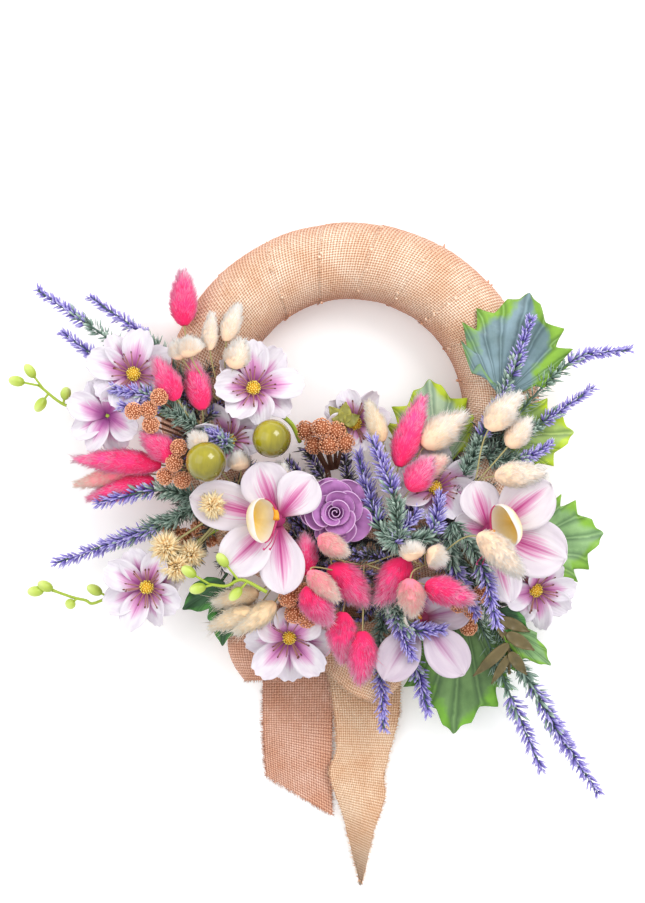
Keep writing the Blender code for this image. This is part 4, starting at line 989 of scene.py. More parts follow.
# Each bunch has the place where it is tied, and each head's tip, foot and radius. A head of another dye than
# its bunch has its radius and that dye.
TAILS = {
    "tails_pink_upper_left": ((-98, -12), [
        ((-109, 96), (-108, 54), 8.5), ((-128, 37), (-112, 6), 8), ((-104, 36), (-95, 0), 8),
    ]),
    "tails_cream_upper_left": ((-84, 8), [
        ((-101, 50), (-103, 34), 8), ((-90, 66), (-91, 38), 5), ((-113, 48), (-109, 33), 6),
        ((-72, 72), (-80, 44), 6), ((-69, 49), (-76, 27), 8),
    ]),
    "tails_pink_left": ((-97, -44), [
        ((-184, -31), (-121, -35), 8), ((-184, -49), (-143, -41), (5.5, "blush")),
        ((-138, -12), (-113, -31), 8), ((-176, -58), (-126, -46), 7.6),
    ]),
    "tails_cream_left": ((-74, -50), [
        ((-75, -25), (-71, -39), 7), ((-104, -13), (-95, -25), 6.5), ((-43, -32), (-51, -45), 6.5),
    ]),
    "tails_pink_top": ((28, -66), [((49, 14), (30, -38), 8), ((54, -27), (38, -52), 8)]),
    "tails_cream_top": ((32, -56), [
        ((79, 1), (47, -25), 10), ((10, 9), (21, -21), (6, "peach")), ((66, -29), (43, -42), (7, "blush")),
    ]),
    "tails_cream_right": ((82, -46), [
        ((112, 13), (88, -13), 9), ((118, -2), (101, -24), 7.5), ((129, -40), (93, -43), 8),
    ]),
    "tails_cream_lower_left": ((-44, -104), [
        ((-93, -126), (-60, -117), (7, "peach")), ((-95, -142), (-62, -128), (6.5, "peach")),
        ((-78, -146), (-48, -124), (7, "peach")),
    ]),
    "tails_pink_centre": ((8, -100), [
        ((15, -129), (-14, -98), 9.5), ((16, -129), (36, -94), 9.5), ((-11, -141), (-28, -112), 8.5),
        ((-4, -168), (-5, -129), 8.5), ((6, -182), (8, -142), 8.5), ((83, -123), (48, -112), 8),
    ]),
    "tails_blush": ((4, -106), [((1, -94), (-22, -82), 6.2), ((-6, -125), (-26, -102), 6.2)]),
    "tails_cream_low": ((48, -100), [
        ((40, -82), (39, -96), 7.5), ((64, -99), (49, -92), 7.5), ((41, -136), (38, -107), (8.5, "blush")),
        ((113, -109), (80, -81), 9),
    ]),
}
HAIRS = 2050
TUFTS = 420
HAIR_WIDTH = 0.29
FEW_WHISKERS, MANY_WHISKERS = (10, 1.25), (60, 2.2)
FULLER, FULLEST = 1.15, 1.28
FULLEST_BUNCHES = ("tails_pink_centre", "tails_blush", "tails_pink_top")
STEM_DIP = 14


def fluff_material(name, colours):
    """Fine matt hairs, deep in colour at their roots and paler at their ends, with a velvet sheen. They are
    lit mostly as the round tuft is that they stand in, which makes them look soft."""
    material = new_material(name)
    spot = add(material, "Attribute", attribute_name="spot", output="Vector")
    share, down, tone = add(material, "SeparateXYZ", {0: spot}, output=None)
    place = add(material, "TexCoord", output="Object")
    clouds = add(material, "TexNoise", {"Vector": place, "Scale": 110, "Detail": 2})
    blend = add(material, "Math", {0: share, 1: 0.7, 2: -0.05}, operation="MULTIPLY_ADD")
    blend = add(material, "Math", {0: tone, 1: 0.35, 2: blend}, operation="MULTIPLY_ADD")
    blend = add(material, "Math", {0: down, 1: -0.5, 2: blend}, operation="MULTIPLY_ADD")
    blend = add(material, "Math", {0: clouds, 1: 0.4, 2: blend}, operation="MULTIPLY_ADD")
    colour = add(material, "ValToRGB", {"Fac": blend}, stops=colours)
    outward = add(material, "Attribute", attribute_name="outward", output="Vector")
    own = add(material, "TexCoord", output="Normal")
    own = add(material, "VectorMath", {0: own, 1: (0.45, 0.45, 0.45)}, operation="MULTIPLY")
    soft = add(material, "VectorMath", {0: outward, 1: own}, operation="ADD")
    soft = add(material, "VectorMath", {0: soft}, operation="NORMALIZE")
    return shade(material, {"Base Color": colour, "Roughness": 0.85, "Sheen Weight": 0.25, "Normal": soft})


DYES = {
    "pink": ("dyed_pink", [(0.0, "F01260"), (0.3, "FF468C"), (0.6, "FF8AB6"), (0.95, "FFD8E6")]),
    "cream": ("natural_cream", [(0.0, "F6D2B0"), (0.35, "FCE8D4"), (0.6, "FFF5EC"), (0.95, "FFFFFC")]),
    "peach": ("natural_peach", [(0.0, "F2CFA2"), (0.35, "FCE4C2"), (0.6, "FFF2DE"), (0.95, "FFFAF0")]),
    "blush": ("dyed_blush", [(0.0, "FA8096"), (0.35, "FFB4B0"), (0.6, "FFD8CA"), (0.95, "FFF4EA")]),
}
FLUFF = {dye: fluff_material(name + "_grass_hair", colours) for dye, (name, colours) in DYES.items()}
straw_stem = tinted_material("dried_grass_stem", [(0.1, "A9A06C"), (0.6, "C4BC8C"), (1.0, "DDD6AE")])


def core_girth(down, radius):
    """The radius of a head's core at a share of the head: plump near its base and drawn out to its tip."""
    return 0.82 * radius * np.sin(math.pi * (0.02 + 0.96 * down.clip(0, 1)) ** 1.45) ** 0.55


def hairy_head(line, shares, head, radius, material, whiskers, far):
    """A plump core and its hairs, which point ahead at the tip and spread lower down. They cling together in
    tufts, and so many whiskers reach beyond them, by so many radii at most."""
    reach = 0.6 * radius / (shares_of(line)[1] * head)
    tuft = rng.integers(0, TUFTS, HAIRS)
    down = (rng.random(TUFTS)[tuft] ** 0.8 + rng.normal(0, 0.025, HAIRS)).clip(0.01, 0.99)
    turn = rng.random(TUFTS)[tuft] * math.tau + rng.normal(0, 0.22, HAIRS)
    roots, toward, side, up = frames_on(line, shares, (reach + (0.97 - reach) * down) * head)
    out = side * np.cos(turn)[:, None] + up * np.sin(turn)[:, None]
    spread = 0.4 + 0.6 * down + 0.9 * (down - 0.75).clip(0)
    lean = rng.normal(0, 0.13, (TUFTS, 3))[tuft] + rng.normal(0, 0.12, (HAIRS, 3))
    long = radius * rng.uniform(0.25, 0.62, HAIRS) * (1.15 - 0.3 * down)
    long[:whiskers] = rng.uniform(0.8, far, whiskers) * radius
    sizes = sized(HAIR_WIDTH, HAIR_WIDTH, long)
    told = (down, 0.65 * rng.random(TUFTS)[tuft] + 0.35 * rng.random(HAIRS))
    facing = out + toward * (0.6 - 0.9 * down)[:, None]
    girth = core_girth(down, radius)
    ways = toward + out * spread[:, None] + lean
    hairs = scattered(SPIKE, roots + out * girth[:, None] * 0.9, ways, sizes, told, material, facing)

    bm = bmesh.new()
    bmesh.ops.create_uvsphere(bm, u_segments=22, v_segments=26, radius=0.5)
    ball, faces = read(as_mesh("core", bm))
    depth = 0.5 - ball[:, 2]
    turn = np.arctan2(ball[:, 1], ball[:, 0])
    middle, ahead, side, up = frames_on(line, shares, (reach * 0.8 + (0.98 - reach * 0.8) * depth) * head)
    facing = side * np.cos(turn)[:, None] + up * np.sin(turn)[:, None]
    ripple = 1 + 0.05 * np.sin(turn * 7 + depth * 9) * np.sin(depth * 31 + turn * 2)
    girths = core_girth(depth, radius) * ripple * (np.abs(ball[:, 2]) < 0.4999)
    told = np.column_stack([
        np.full(len(ball), 0.15), depth, np.full(len(ball), 0.4), facing + ahead * (0.5 - depth)[:, None],
    ])
    body = (middle + facing * girths[:, None], faces, told, material)

    # The stem dips out of sight below its head.
    below = at_share(line, shares, np.linspace(0.95 * head, 1, 30))
    below[:, 2] -= np.linspace(0, 1, 30) * STEM_DIP
    return [hairs, body, stems([(below, 0.5)], straw_stem)]


for node, (root, strands) in TAILS.items():
    parts = []
    fuller = FULLEST if node in FULLEST_BUNCHES else FULLER
    whiskers = MANY_WHISKERS if node == "tails_cream_lower_left" else FEW_WHISKERS
    for line, shares, head, last in bunch(node, root, strands):
        radius, dye = last if isinstance(last, tuple) else (last, node.split("_")[1])
        parts += hairy_head(line, shares, head, radius * fuller, FLUFF[dye], *whiskers)
    if node == "tails_pink_centre":
        # One more head stands between the left orchid and the rose.
        line = curve_through([(-29, -76, 58), (-28, -106, 58), (-14, -112, 52), (4, -104, 46)])
        parts += hairy_head(line, shares_of(line)[0], 0.45, 9, FLUFF["pink"], *FEW_WHISKERS)
    piece(node.replace("tails", "bunny_tails"), parts, node)


# Brunia. Round brown heads of packed bristly florets, on short scaly stalks of a darker brown. Four looser
# cones of the same colour lie below the left bunch.

BRUNIA = {
    "brunia_left": ((-98, -22), [
        (-140, 0), (-130, 1), (-123, 9), (-129, -9), (-111, -24), (-114, -34), (-120, -43), (-109, -45),
    ]),
    "brunia_top": ((-12, -38), [(-30, -13), (-19, -11), (-9, -13), (-24, -22), (-14, -22), (-3, -21)]),
    "brunia_low": ((-30, -112), [(-41, -121), (-31, -118), (-22, -125), (-37, -132), (-28, -135)]),
    "brunia_right": ((70, -106), [(70, -126), (80, -131), (77, -141), (85, -119)]),
}
LOW_CONES = [(-118, -77), (-109, -82), (-99, -77), (-92, -83)]
BRUNIA_RADIUS = 4.6
BRUNIA_FLORETS = 170
BRUNIA_GROWN = {"brunia_left": 0.8, "brunia_top": 1.7, "brunia_low": 1.5, "brunia_right": 1.0}
CONE_RADIUS = 5.2
CONE_LIFT = 9
# A stalk's radius, how far it dips, and how late along it, where it is seen and where heads hide it.
BARE_STALK, HIDDEN_STALK = (1.1, STEM_DIP, 2), (0.7, STEM_DIP * 1.6, 0.7)
# Dried florets and stalks: matt rust brown, paler where a floret's tip catches the light.
rust_tones = [(0.0, "A65E38"), (0.5, "E49C72"), (1.0, "FFCCA8")]
rust = tinted_material("dried_brunia_floret", rust_tones, roughness=0.8)
bark_tones = [(0.0, "5E3C2A"), (0.6, "7E543C"), (1.0, "A07458")]
bark = tinted_material("dried_brunia_stalk", bark_tones, roughness=0.9)


def even_ways(count):
    """Unit vectors spread evenly over a sphere."""
    k = np.arange(count) + 0.5
    z, turn = 1 - 2 * k / count, k * math.pi * (3 - math.sqrt(5))
    return np.column_stack([np.sqrt(1 - z**2) * np.cos(turn), np.sqrt(1 - z**2) * np.sin(turn), z])


def bristly_ball(middle, radius, count, size, material, jitter=0.12, floret=BUDLET):
    """A ball covered in small florets, of a width and a length, that stand out from it."""
    ways = unit(even_ways(count) + rng.normal(0, jitter, (count, 3)))
    wide, long = size
    sizes = sized(wide, wide, long * rng.uniform(0.8, 1.25, count))
    told = (np.zeros(count), rng.random(count))
    cover = scattered(floret, middle + ways * (radius - long * 0.55), ways, sizes, told, material)
    bm = bmesh.new()
    bmesh.ops.create_icosphere(bm, subdivisions=2, radius=radius * 0.82, matrix=Matrix.Translation(middle))
    points, faces = read(as_mesh("ball", bm))
    return [cover, (points, faces, np.full((len(points), 3), (0.05, 0.5, 0.5)), material)]


for node, (root, balls) in BRUNIA.items():
    strands, parts = [], []
    for ball in balls:
        inward = np.array(root, float) - ball
        inward *= BRUNIA_RADIUS / np.linalg.norm(inward)
        strands.append((tuple(ball - inward), tuple(ball + inward), BRUNIA_RADIUS))
    girth, dip, late = BARE_STALK if node == "brunia_top" else HIDDEN_STALK
    for line, shares, head, radius in bunch(node, root, strands):
        middle = at_share(line, shares, np.array([0.5 * head]))[0]
        radius += BRUNIA_GROWN[node]
        parts += bristly_ball(middle, radius, BRUNIA_FLORETS, (1.0, 1.3), rust, 0.05, NUB)
        below = at_share(line, shares, np.linspace(0.9 * head, 1, 16))
        below[:, 2] -= np.linspace(0, 1, 16) ** late * dip
        parts.append(stems([(below, girth)], bark, 0.2))

    # The one thick stalk that the stalks of the heads branch from.
    tie = below[-1]
    inward = np.array([*np.array(root, float) - np.mean(balls, axis=0), 0])
    inward *= 20 / np.linalg.norm(inward)
    bends = [tie - inward * 0.1 + (0, 0, 1), tie + inward * 0.5 - (0, 0, 4), tie + inward - (0, 0, 14)]
    parts.append(stems([(curve_through(bends), 1.8)], bark, 0.1, 2))
    if node == "brunia_left":
        for x, y in LOW_CONES:
            middle = np.array([x, y, bed_height(x, y) + CONE_LIFT])
            parts += bristly_ball(middle, CONE_RADIUS, BRUNIA_FLORETS, (1.2, 2.4), rust, 0.25)
    piece(node + "_heads", parts, node)


# Straw flowers. Pale yellow everlasting heads with stiff papery bracts all round, on thin stalks. One rests
# on the left orchid's petal.

STRAW_ROOT = (-84, -68)
STRAW_HEADS = [((-120, -88), 8), ((-113, -101), 8), ((-103, -93), 7.5), ((-89, -61), 7)]
STRAW_BRACTS = 420
# Papery bracts: pale straw, deeper towards their roots, with a slight gloss.
straw = tinted_material("papery_straw_bract", [(0.0, "D8A460"), (0.4, "F8D498"), (1.0, "FFF2CC")], 0.6)
strands = []
for place, radius in STRAW_HEADS:
    inward = np.array(STRAW_ROOT, float) - place
    inward /= np.linalg.norm(inward)
    strands.append((tuple(place - inward * radius), tuple(place + inward * radius * 0.6), radius))
parts = []
petal_tree = solid("orchid_left")
for line, shares, head, radius in bunch("straw_heads", STRAW_ROOT, strands):
    middle = at_share(line, shares, np.array([0.6 * head]))[0]
    beneath = layers(petal_tree, *middle[:2])
    if beneath:
        middle[2] = max(middle[2], beneath[0][1] + radius * 0.7)
    ways = even_ways(STRAW_BRACTS) + rng.normal(0, 0.3, (STRAW_BRACTS, 3))
    long = radius * rng.uniform(0.8, 1.6, STRAW_BRACTS)
    sizes = sized(2.2, 0.6, long)
    told = (np.zeros(STRAW_BRACTS), rng.random(STRAW_BRACTS))
    parts.append(scattered(NEEDLE, middle + ways * 0.3, ways, sizes, told, straw))
    below = at_share(line, shares, np.linspace(0.9 * head, 1, 20))
    parts.append(stems([(below, 0.8)], straw_stem))
piece("straw_flower_heads", parts, "straw_heads")


# Cosmos. Pressed silk-like blooms of eight broad petals, white with a rose flush and darker veins towards
# the middle, round a yellow dome with brown stamens. Each sits on a small green calyx and stem.

# Each bloom has its middle, its petals' reach, its lean in degrees, the side that it leans to, and where
# its stem ends, if it has one that is long enough to show.
COSMOS = {
    "cosmos_left": ((-133, -115), 31, 8, 200, (-84, -72)),
    "cosmos_right": ((121, -117), 27, 15, -40, (80, -76)),
    "cosmos_low": ((-40, -148), 31, 12, -90, (-34, -108)),
    "cosmos_top": ((3, -8), 24, 8, 60, None),
    "cosmos_mid_left": ((-79, -19), 26, 6, 120, None),
    "cosmos_upper_mid": ((-63, 15), 32, 14, 50, None),
    "cosmos_centre": ((55, -50), 30, 14, 70, None),
}
TWIN_COSMOS = [((-141, 24), 31, 8, 120), ((-158, -3), 28, 8, 200)]
TWIN_ROOT = (-104, 2)
# A stem that is seen at a bloom's side, with its heights from the bloom's middle.
SIDE_STEMS = {"cosmos_upper_mid": [(-56, 6, -1), (-46, -2, 1), (-38, -9, -4), (-33, -20, -14)]}
PETAL_THICKNESS = 0.45
DOME_RADIUS = 4.4
DOME_FLORETS = 110
STAMENS = 18
CALYX_TOP = 3


def petal_material(name, body, flush, deep, throat_and_root_shade, reach, lines, narrow=0.4, streaky=0.9, rim=None):
    """A thin soft petal that lets a little light through: pale towards its edge, with a flush and fine lines
    that fade out from its base, dimmed in soft clouds of painted shade. Near its base it takes the throat
    colour, which on the rose is painted shade, and its very rim can be of another colour, on the rose a painted
    highlight."""
    material = new_material(name)
    spot = add(material, "Attribute", attribute_name="spot", output="Vector")
    across, along, _ = add(material, "SeparateXYZ", {0: spot}, output=None)
    stretched = add(material, "VectorMath", {0: spot, 1: (lines * 0.5, 0.9, 23)}, operation="MULTIPLY")
    streaks = add(material, "TexNoise", {"Vector": stretched, "Scale": 1.6, "Detail": 4})
    clouds = add(material, "TexNoise", {"Vector": spot, "Scale": 2.5, "Detail": 2})
    out = add(material, "Math", {0: across}, operation="ABSOLUTE")
    fade = add(material, "Math", {0: along, 1: -1 / reach, 2: 0.75}, operation="MULTIPLY_ADD")
    shift = add(material, "Math", {0: streaks, 1: streaky, 2: 0.45 - streaky / 2}, operation="MULTIPLY_ADD")
    fade = add(material, "Math", {0: fade, 1: shift}, operation="ADD")
    fade = add(material, "Math", {0: out, 1: -narrow, 2: fade}, operation="MULTIPLY_ADD")
    colour = add(material, "ValToRGB", {"Fac": fade}, stops=[(0.25, body), (0.6, flush), (1.0, deep)])
    rib = add(material, "Math", {0: out, 1: -14, 2: 1}, operation="MULTIPLY_ADD", use_clamp=True)
    short = {0: along, 1: -1.5 / reach, 2: 1.5}
    short = add(material, "Math", short, operation="MULTIPLY_ADD", use_clamp=True)
    rib = add(material, "Math", {0: rib, 1: short}, operation="MULTIPLY", use_clamp=True)
    rib = add(material, "Math", {0: rib, 1: 0.8}, operation="MULTIPLY")
    colour = add(material, "MixRGB", {"Fac": rib, "Color1": colour, "Color2": linear(deep)})
    # The colour near the base: the flower's own on the cosmos and the orchids, painted shade on the rose.
    near = add(material, "ValToRGB", {"Fac": along}, stops=[(0.04, "FFFFFF"), (0.2, "000000")])
    colour = add(material, "MixRGB", {"Fac": near, "Color1": colour, "Color2": linear(throat_and_root_shade)})
    if rim:
        # A pale rim, where given, is a painted highlight.
        edge = add(material, "Math", {0: out, 1: along}, operation="MAXIMUM")
        rim_highlight_mask = add(material, "ValToRGB", {"Fac": edge}, stops=[(0.93, "000000"), (0.98, "FFFFFF")])
        colour = add(material, "MixRGB", {"Fac": rim_highlight_mask, "Color1": colour, "Color2": linear(rim)})
    # Painted shade: soft clouds dim the petal here and there.
    shadow = add(material, "ValToRGB", {"Fac": clouds}, stops=[(0.3, "E4DEE8"), (0.7, "FFFFFF")])
    colour = add(material, "MixRGB", {"Fac": 0.6, "Color1": colour, "Color2": shadow}, blend_type="MULTIPLY")
    vein = add(material, "Math", {0: across, 1: lines}, operation="MULTIPLY")
    vein = add(material, "Math", {0: vein}, operation="SINE")
    height = add(material, "Math", {0: streaks, 1: vein}, operation="ADD")
    bump = add(material, "Bump", {"Height": height, "Strength": 0.15, "Distance": 0.0005})
    surface = add(material, "BsdfPrincipled", {
        "Base Color": colour, "Roughness": 0.55, "Specular IOR Level": 0.3, "Normal": bump,
    })
    through = add(material, "BsdfTranslucent", {"Color": colour, "Normal": bump})
    mixed = add(material, "MixShader", {0: 0.2, 1: surface, 2: through})
    material.node_tree.links.new(mixed, material.node_tree.nodes["Material Output"].inputs["Surface"])
    return material


cosmos_silk = petal_material(
    "soft_white_rose_petal", "F3EFF4", "E8A8D6", "BE58A6", "A8549A", reach=0.6, lines=26, narrow=0.55,
    streaky=0.5,
)
# Plant parts of the bloom: a dome yellow with pollen, brown stamens and fresh, slightly glossy green.
dome_yellow = tinted_material("yellow_pollen_dome", [(0.0, "D49E14"), (0.5, "F8D830"), (1.0, "FFF594")])
stamen_brown = tinted_material("brown_stamen", [(0.0, "A06E66"), (0.6, "744236"), (1.0, "5E3226")])
green_tones = [(0.0, "9CB232"), (0.5, "BCD048"), (1.0, "D2E07C")]
fresh_green = tinted_material("fresh_green_stem", green_tones, roughness=0.45, grain=300)


def petal(
    material, length, half_width, direction, rise, cup, widths, step, tone, notch=0, blunt=0.02, roll=0,
):
    """A petal that springs from the middle of its bloom, so high above it as its step, and rises and cups.
    Its rim is waved and blunt, and notched where that is given. A roll turns it about its own length, more
    towards its tip."""
    ahead = np.array([math.cos(math.radians(direction)), math.sin(math.radians(direction)), 0])
    aside = np.array([-ahead[1], ahead[0], 0])
    phase = rng.random() * 6

    def surface(u, v):
        w, v = 2 * u - 1, np.sin(v * math.pi / 2)
        t = 0.05 + 0.95 * v
        width = half_width * widths(v)
        rim = 1 - blunt * np.abs(w) ** 2.6 * v**2 + notch * np.cos(w * 9 + phase) * v**6
        wave = 0.035 * half_width * np.sin(w * 6 + phase + 3 * v) * v**2
        rolled = roll * (0.3 + 0.7 * v)
        z = step + length * rise * t * (1.6 - 0.6 * t) + cup * width * w**2 + wave
        z += w * width * np.sin(rolled)
        out = w * width * np.cos(rolled)
        return aside * out[:, None] + ahead * (length * t * rim)[:, None] + np.outer(z, (0, 0, 1))

    return blade(12, 16, surface, PETAL_THICKNESS, material, tone)


def stamens(count, reach, radius, lift):
    """Thin filaments that spread from under a dome, each with a small anther at its end."""
    parts = []
    for i in range(count):
        turn = math.tau * i / count + rng.normal(0, 0.12)
        out = np.array([math.cos(turn), math.sin(turn), 0])
        far = reach * rng.uniform(0.8, 1.1)
        bend, end = out * (radius + far) / 1.7 + (0, 0, lift), out * far + (0, 0, lift * 1.3)
        line = [out * radius * 0.8, bend, end]
        parts.append(stems([(curve_through(line, 2.5), 0.42)], stamen_brown))
        sizes = np.array([[1.3, 1.3, 2.2]])
        told = (np.zeros(1), np.full(1, 0.8))
        parts.append(scattered(BUDLET, end[None], out[None] + (0, 0, 0.3), sizes, told, stamen_brown))
    return parts


def turned_by(parts, matrix):
    """Parts brought to another place."""
    turn, shift = np.array(matrix.to_3x3()), np.array(matrix.translation)
    return [(points @ turn.T + shift, *rest) for points, *rest in parts]


def tilt(lean, side):
    """Leans a bloom by an angle towards a side."""
    heading = math.radians(side)
    return Matrix.Rotation(math.radians(lean), 4, Vector((-math.sin(heading), math.cos(heading), 0)))


def cone(radii, depth, height, spot, material, segments=12):
    """A short closed cone at a height of a bloom's axis, such as the calyx that carries it."""
    bm = bmesh.new()
    bmesh.ops.create_cone(
        bm, cap_ends=True, segments=segments, radius1=radii[0], radius2=radii[1], depth=depth,
        matrix=Matrix.Translation((0, 0, height)),
    )
    points, faces = read(as_mesh("cone", bm))
    return points, faces, np.full((len(points), 3), spot), material


def broad(v):
    """The width of a cosmos petal along it, widest beyond its middle."""
    return 0.96 * np.sin(math.pi * (0.04 + 0.72 * v)) ** 0.75


def cosmos_head(reach, start, side):
    """The eight petals of a bloom, every other one higher and steeper, over their calyx. One of them has
    rolled nearly on its edge, and those behind stand up more than those on the side it leans to."""
    parts, limp = [], rng.integers(8)
    for i in range(8):
        rise, step = (0.24, 0.9) if i % 2 else (0.14, -0.9)
        heading = start + 45 * i + rng.normal(0, 3)
        behind = (1 - math.cos(math.radians(heading - side))) / 2
        long = reach * rng.uniform(0.94, 1.03) * (1 - 0.18 * behind)
        roll = rng.normal(0, 0.4) if i != limp else 0.9
        rise += 0.2 * behind + rng.normal(0, 0.03)
        parts.append(petal(
            cosmos_silk, long, reach * 0.36, heading, rise, 0.35, broad, step, rng.random(),
            notch=0.025, blunt=0.13, roll=roll,
        ))
    return parts + [cone((1.7, 4.2), 6, -1.5, (0.3, 0.5, 0.3), fresh_green)]


def dome():
    """The dome of packed yellow florets with its ring of stamens."""
    parts = bristly_ball(np.zeros(3), DOME_RADIUS, DOME_FLORETS, (0.9, 1.3), dome_yellow, 0.05)
    parts = turned_by(parts, Matrix.Diagonal((1, 1, 0.7, 1)))
    return parts + stamens(STAMENS, 12.5, DOME_RADIUS, 3)


def hub_height(node, middle):
    """How high a bloom's middle lies: its calyx ends a little above it."""
    return layers(solid(node), *middle)[0][1] - CALYX_TOP


def bloom_stem(tree, root, middle, hub):
    """The stem that runs up to a bloom, under its middle."""
    line = followed(tree, curve_through([root, middle]))
    line[:, 2] = np.minimum(line[:, 2], hub - 2)
    return stems([(line, 1.2)], fresh_green)


def dome_piece(name, node, middle, lean, side):
    """A bloom's dome where its CAD node has one of its own."""
    place = Matrix.Translation((*middle, sum(span_of(node)) / 2)) @ tilt(lean, side)
    piece(name, turned_by(dome(), place), node)


for node, (middle, reach, lean, side, root) in COSMOS.items():
    hub = hub_height(node, middle)
    place = Matrix.Translation((*middle, hub)) @ tilt(lean, side)
    parts = turned_by(cosmos_head(reach, side, side), place)
    if root:
        parts.append(bloom_stem(solid(node), root, middle, hub))
    if node in SIDE_STEMS:
        line = curve_through(np.array(SIDE_STEMS[node]) + (0, 0, hub))
        parts.append(stems([(line, 1.5)], fresh_green))
    if node + "_centre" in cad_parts:
        dome_piece(node + "_dome", node + "_centre", middle, lean, side)
    else:
        above = Matrix.Translation((*middle, hub + CALYX_TOP + 1)) @ tilt(lean, side)
        parts += turned_by(dome(), above)
    piece(node + "_bloom", parts, node)

# The twins share a forked stem. Only the upper one shows its dome.
parts = []
tree = solid("cosmos_twins")
for middle, reach, lean, side in TWIN_COSMOS:
    hub = layers(tree, *middle)[0][1] - CALYX_TOP
    parts += turned_by(cosmos_head(reach, side, side), Matrix.Translation((*middle, hub)) @ tilt(lean, side))
    parts.append(bloom_stem(tree, TWIN_ROOT, middle, hub))
    if middle == TWIN_COSMOS[0][0]:
        dome_piece("cosmos_twins_dome", "cosmos_twins_centre", middle, lean, side)
piece("cosmos_twins_blooms", parts, "cosmos_twins")


# Orchids. Thick waxy petals, white with rose streaks, round a column. A cupped lip of pale yellow with a
# crimson edge and two thin tendrils stands in front of it. The low, lilac one has a smaller lip.

# Each bloom has its middle, its petals' headings, lengths and half widths, the heading of its lip from its
# middle, and where its stem ends, if it has one that shows.
ORCHIDS = {
    "orchid_left": ((-47, -70), [
        (110, 39, 16), (51, 36, 15), (-85, 49, 15), (-136, 48, 16), (166, 59, 16),
    ], 180, None),
    "orchid_right": ((90, -78), [
        (108, 34, 13), (38, 50, 18), (-20, 53, 19), (-74, 48, 12), (175, 24, 12),
    ], 20, None),
    "orchid_low": ((46, -135), [
        (-121, 47, 14), (-53, 46, 14), (72, 28, 12), (140, 26, 12), (12, 34, 12),
    ], 200, (40, -104)),
}
ORCHID_LEVELS = [-1, 1, -1, 1, -3]
LIP_TILT = 0.82
LIP_OUT = 9
LIP_UP = 11
LOW_LIP = 0.6
# Waxy petals: smooth and slightly glossy, with streaks that look drawn with a fine brush.
orchid_wax = petal_material(
    "waxy_orchid_petal", "F0E9EE", "E8A8CE", "C83C8E", "B43C74", reach=0.78, lines=26, narrow=1.0, streaky=1.15,
)
orchid_lilac = petal_material(
    "waxy_lilac_orchid_petal", "DED2DC", "D2B2CA", "B472A0", "B0486C", reach=0.7, lines=26, narrow=1.1,
)
lip_yellow = petal_material(
    "waxy_orchid_lip", "FBF6EC", "FBEBB0", "F6D25C", "F2BC38", reach=0.95, lines=12, narrow=0.0, streaky=0.3,
)
column_tones = [(0.0, "E89A18"), (0.6, "FFC42A"), (1.0, "FFE488")]
column_orange = tinted_material("orange_orchid_column", column_tones, roughness=0.5)
crimson_tones = [(0.0, "B02860"), (0.6, "D24C8C"), (1.0, "E88AB8")]
crimson = tinted_material("crimson_orchid_edge", crimson_tones, roughness=0.5)


def orchid_lip(opening):
    """A cup whose mouth faces the column and the viewer, with its crimson near edge and its tendrils."""
    heading = math.radians(opening)
    away = np.array([math.cos(heading), math.sin(heading), 0])
    deep = away * math.cos(LIP_TILT) - np.array([0, 0, math.sin(LIP_TILT)])
    over = np.array([-away[1], away[0], 0])
    top = np.cross(deep, over)

    def surface(u, v):
        turn = u * math.tau
        girth = np.sin(v * 1.65) * (1 + 0.09 * np.cos(2 * turn) + 0.07 * np.sin(3 * turn + 1) * v)
        depth = 12 * np.cos(v * 1.65)
        flare = np.outer(13 * girth * np.cos(turn), over) + np.outer(11 * girth * np.sin(turn), top)
        return away * LIP_OUT + (0, 0, LIP_UP) + np.outer(depth, deep) + flare

    parts = [blade(48, 18, surface, 0.6, lip_yellow, 0.4)]
    rim = surface(np.linspace(0.5, 1.0, 30), np.ones(30))
    parts.append(stems([(rim, 0.4 + 0.5 * np.sin(np.linspace(0, math.pi, 30)))], crimson, 0.5, 2))
    side = -over
    bends = [away * 3 + side * 9 + (0, 0, 4), away + side * 4 + (0, 0, 5), away + (0, 0, 7)]
    column = curve_through(bends, 1)
    parts.append(stems([(column, np.linspace(0.9, 2.2, len(column)))], column_orange, 0.5, 3))
    for sign in (1, -1):
        tendril = np.array([(sign - 1, -7, 10), (sign - 3, -14, 9), (2 * sign - 7, -20, 6)])
        parts.append(stems([(curve_through(tendril, 1), 0.35)], crimson, 0.9))
        told = (np.zeros(1), np.full(1, 0.6))
        parts.append(scattered(BUDLET, tendril[-1:], side[None], np.full((1, 3), 1.8), told, crimson))
    return parts


def oval(v):
    """The width of an orchid's petal along it: narrow at its base and broadly round at its tip."""
    beyond = ((v - 0.58) / 0.42).clip(0, 1)
    return (0.12 + 0.98 * np.sin(v.clip(0, 0.58) / 0.58 * math.pi / 2) ** 1.3) * np.sqrt(1 - beyond**2.2) / 1.1


for node, (middle, petals, opening, root) in ORCHIDS.items():
    hub = hub_height(node, middle)
    finish = orchid_lilac if node == "orchid_low" else orchid_wax
    parts = []
    for (direction, long, half_width), level in zip(petals, ORCHID_LEVELS):
        rise, step = 0.13 + 0.03 * level, level * 0.9
        tone = rng.random()
        parts.append(petal(finish, long, half_width, direction, rise, 0.2, oval, step, tone))
    parts.append(cone((2, 5), 8, -2, (0.3, 0.02, 0.5), finish))
    if node == "orchid_low":
        parts += turned_by(orchid_lip(opening), Matrix.Translation((0, 0, 1)) @ Matrix.Scale(LOW_LIP, 4))
    parts = turned_by(parts, Matrix.Translation((*middle, hub)))
    if root:
        parts.append(bloom_stem(solid(node), root, middle, hub))
    piece(node + "_bloom", parts, node)
    if node + "_lip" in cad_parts:
        base = span_of(node + "_lip")[0] + 3
        parts = turned_by(orchid_lip(opening), Matrix.Translation((*middle, base)))
        piece(node + "_lip_cup", parts, node + "_lip")


# Rose. A wood-shaving rose: broad purple petals in whorls round a tight spiral heart, their rolled rims
# painted pale as a highlight.

ROSE = (-10, -66)
ROSE_DEPTH = 15.5
SHAVING = 0.6
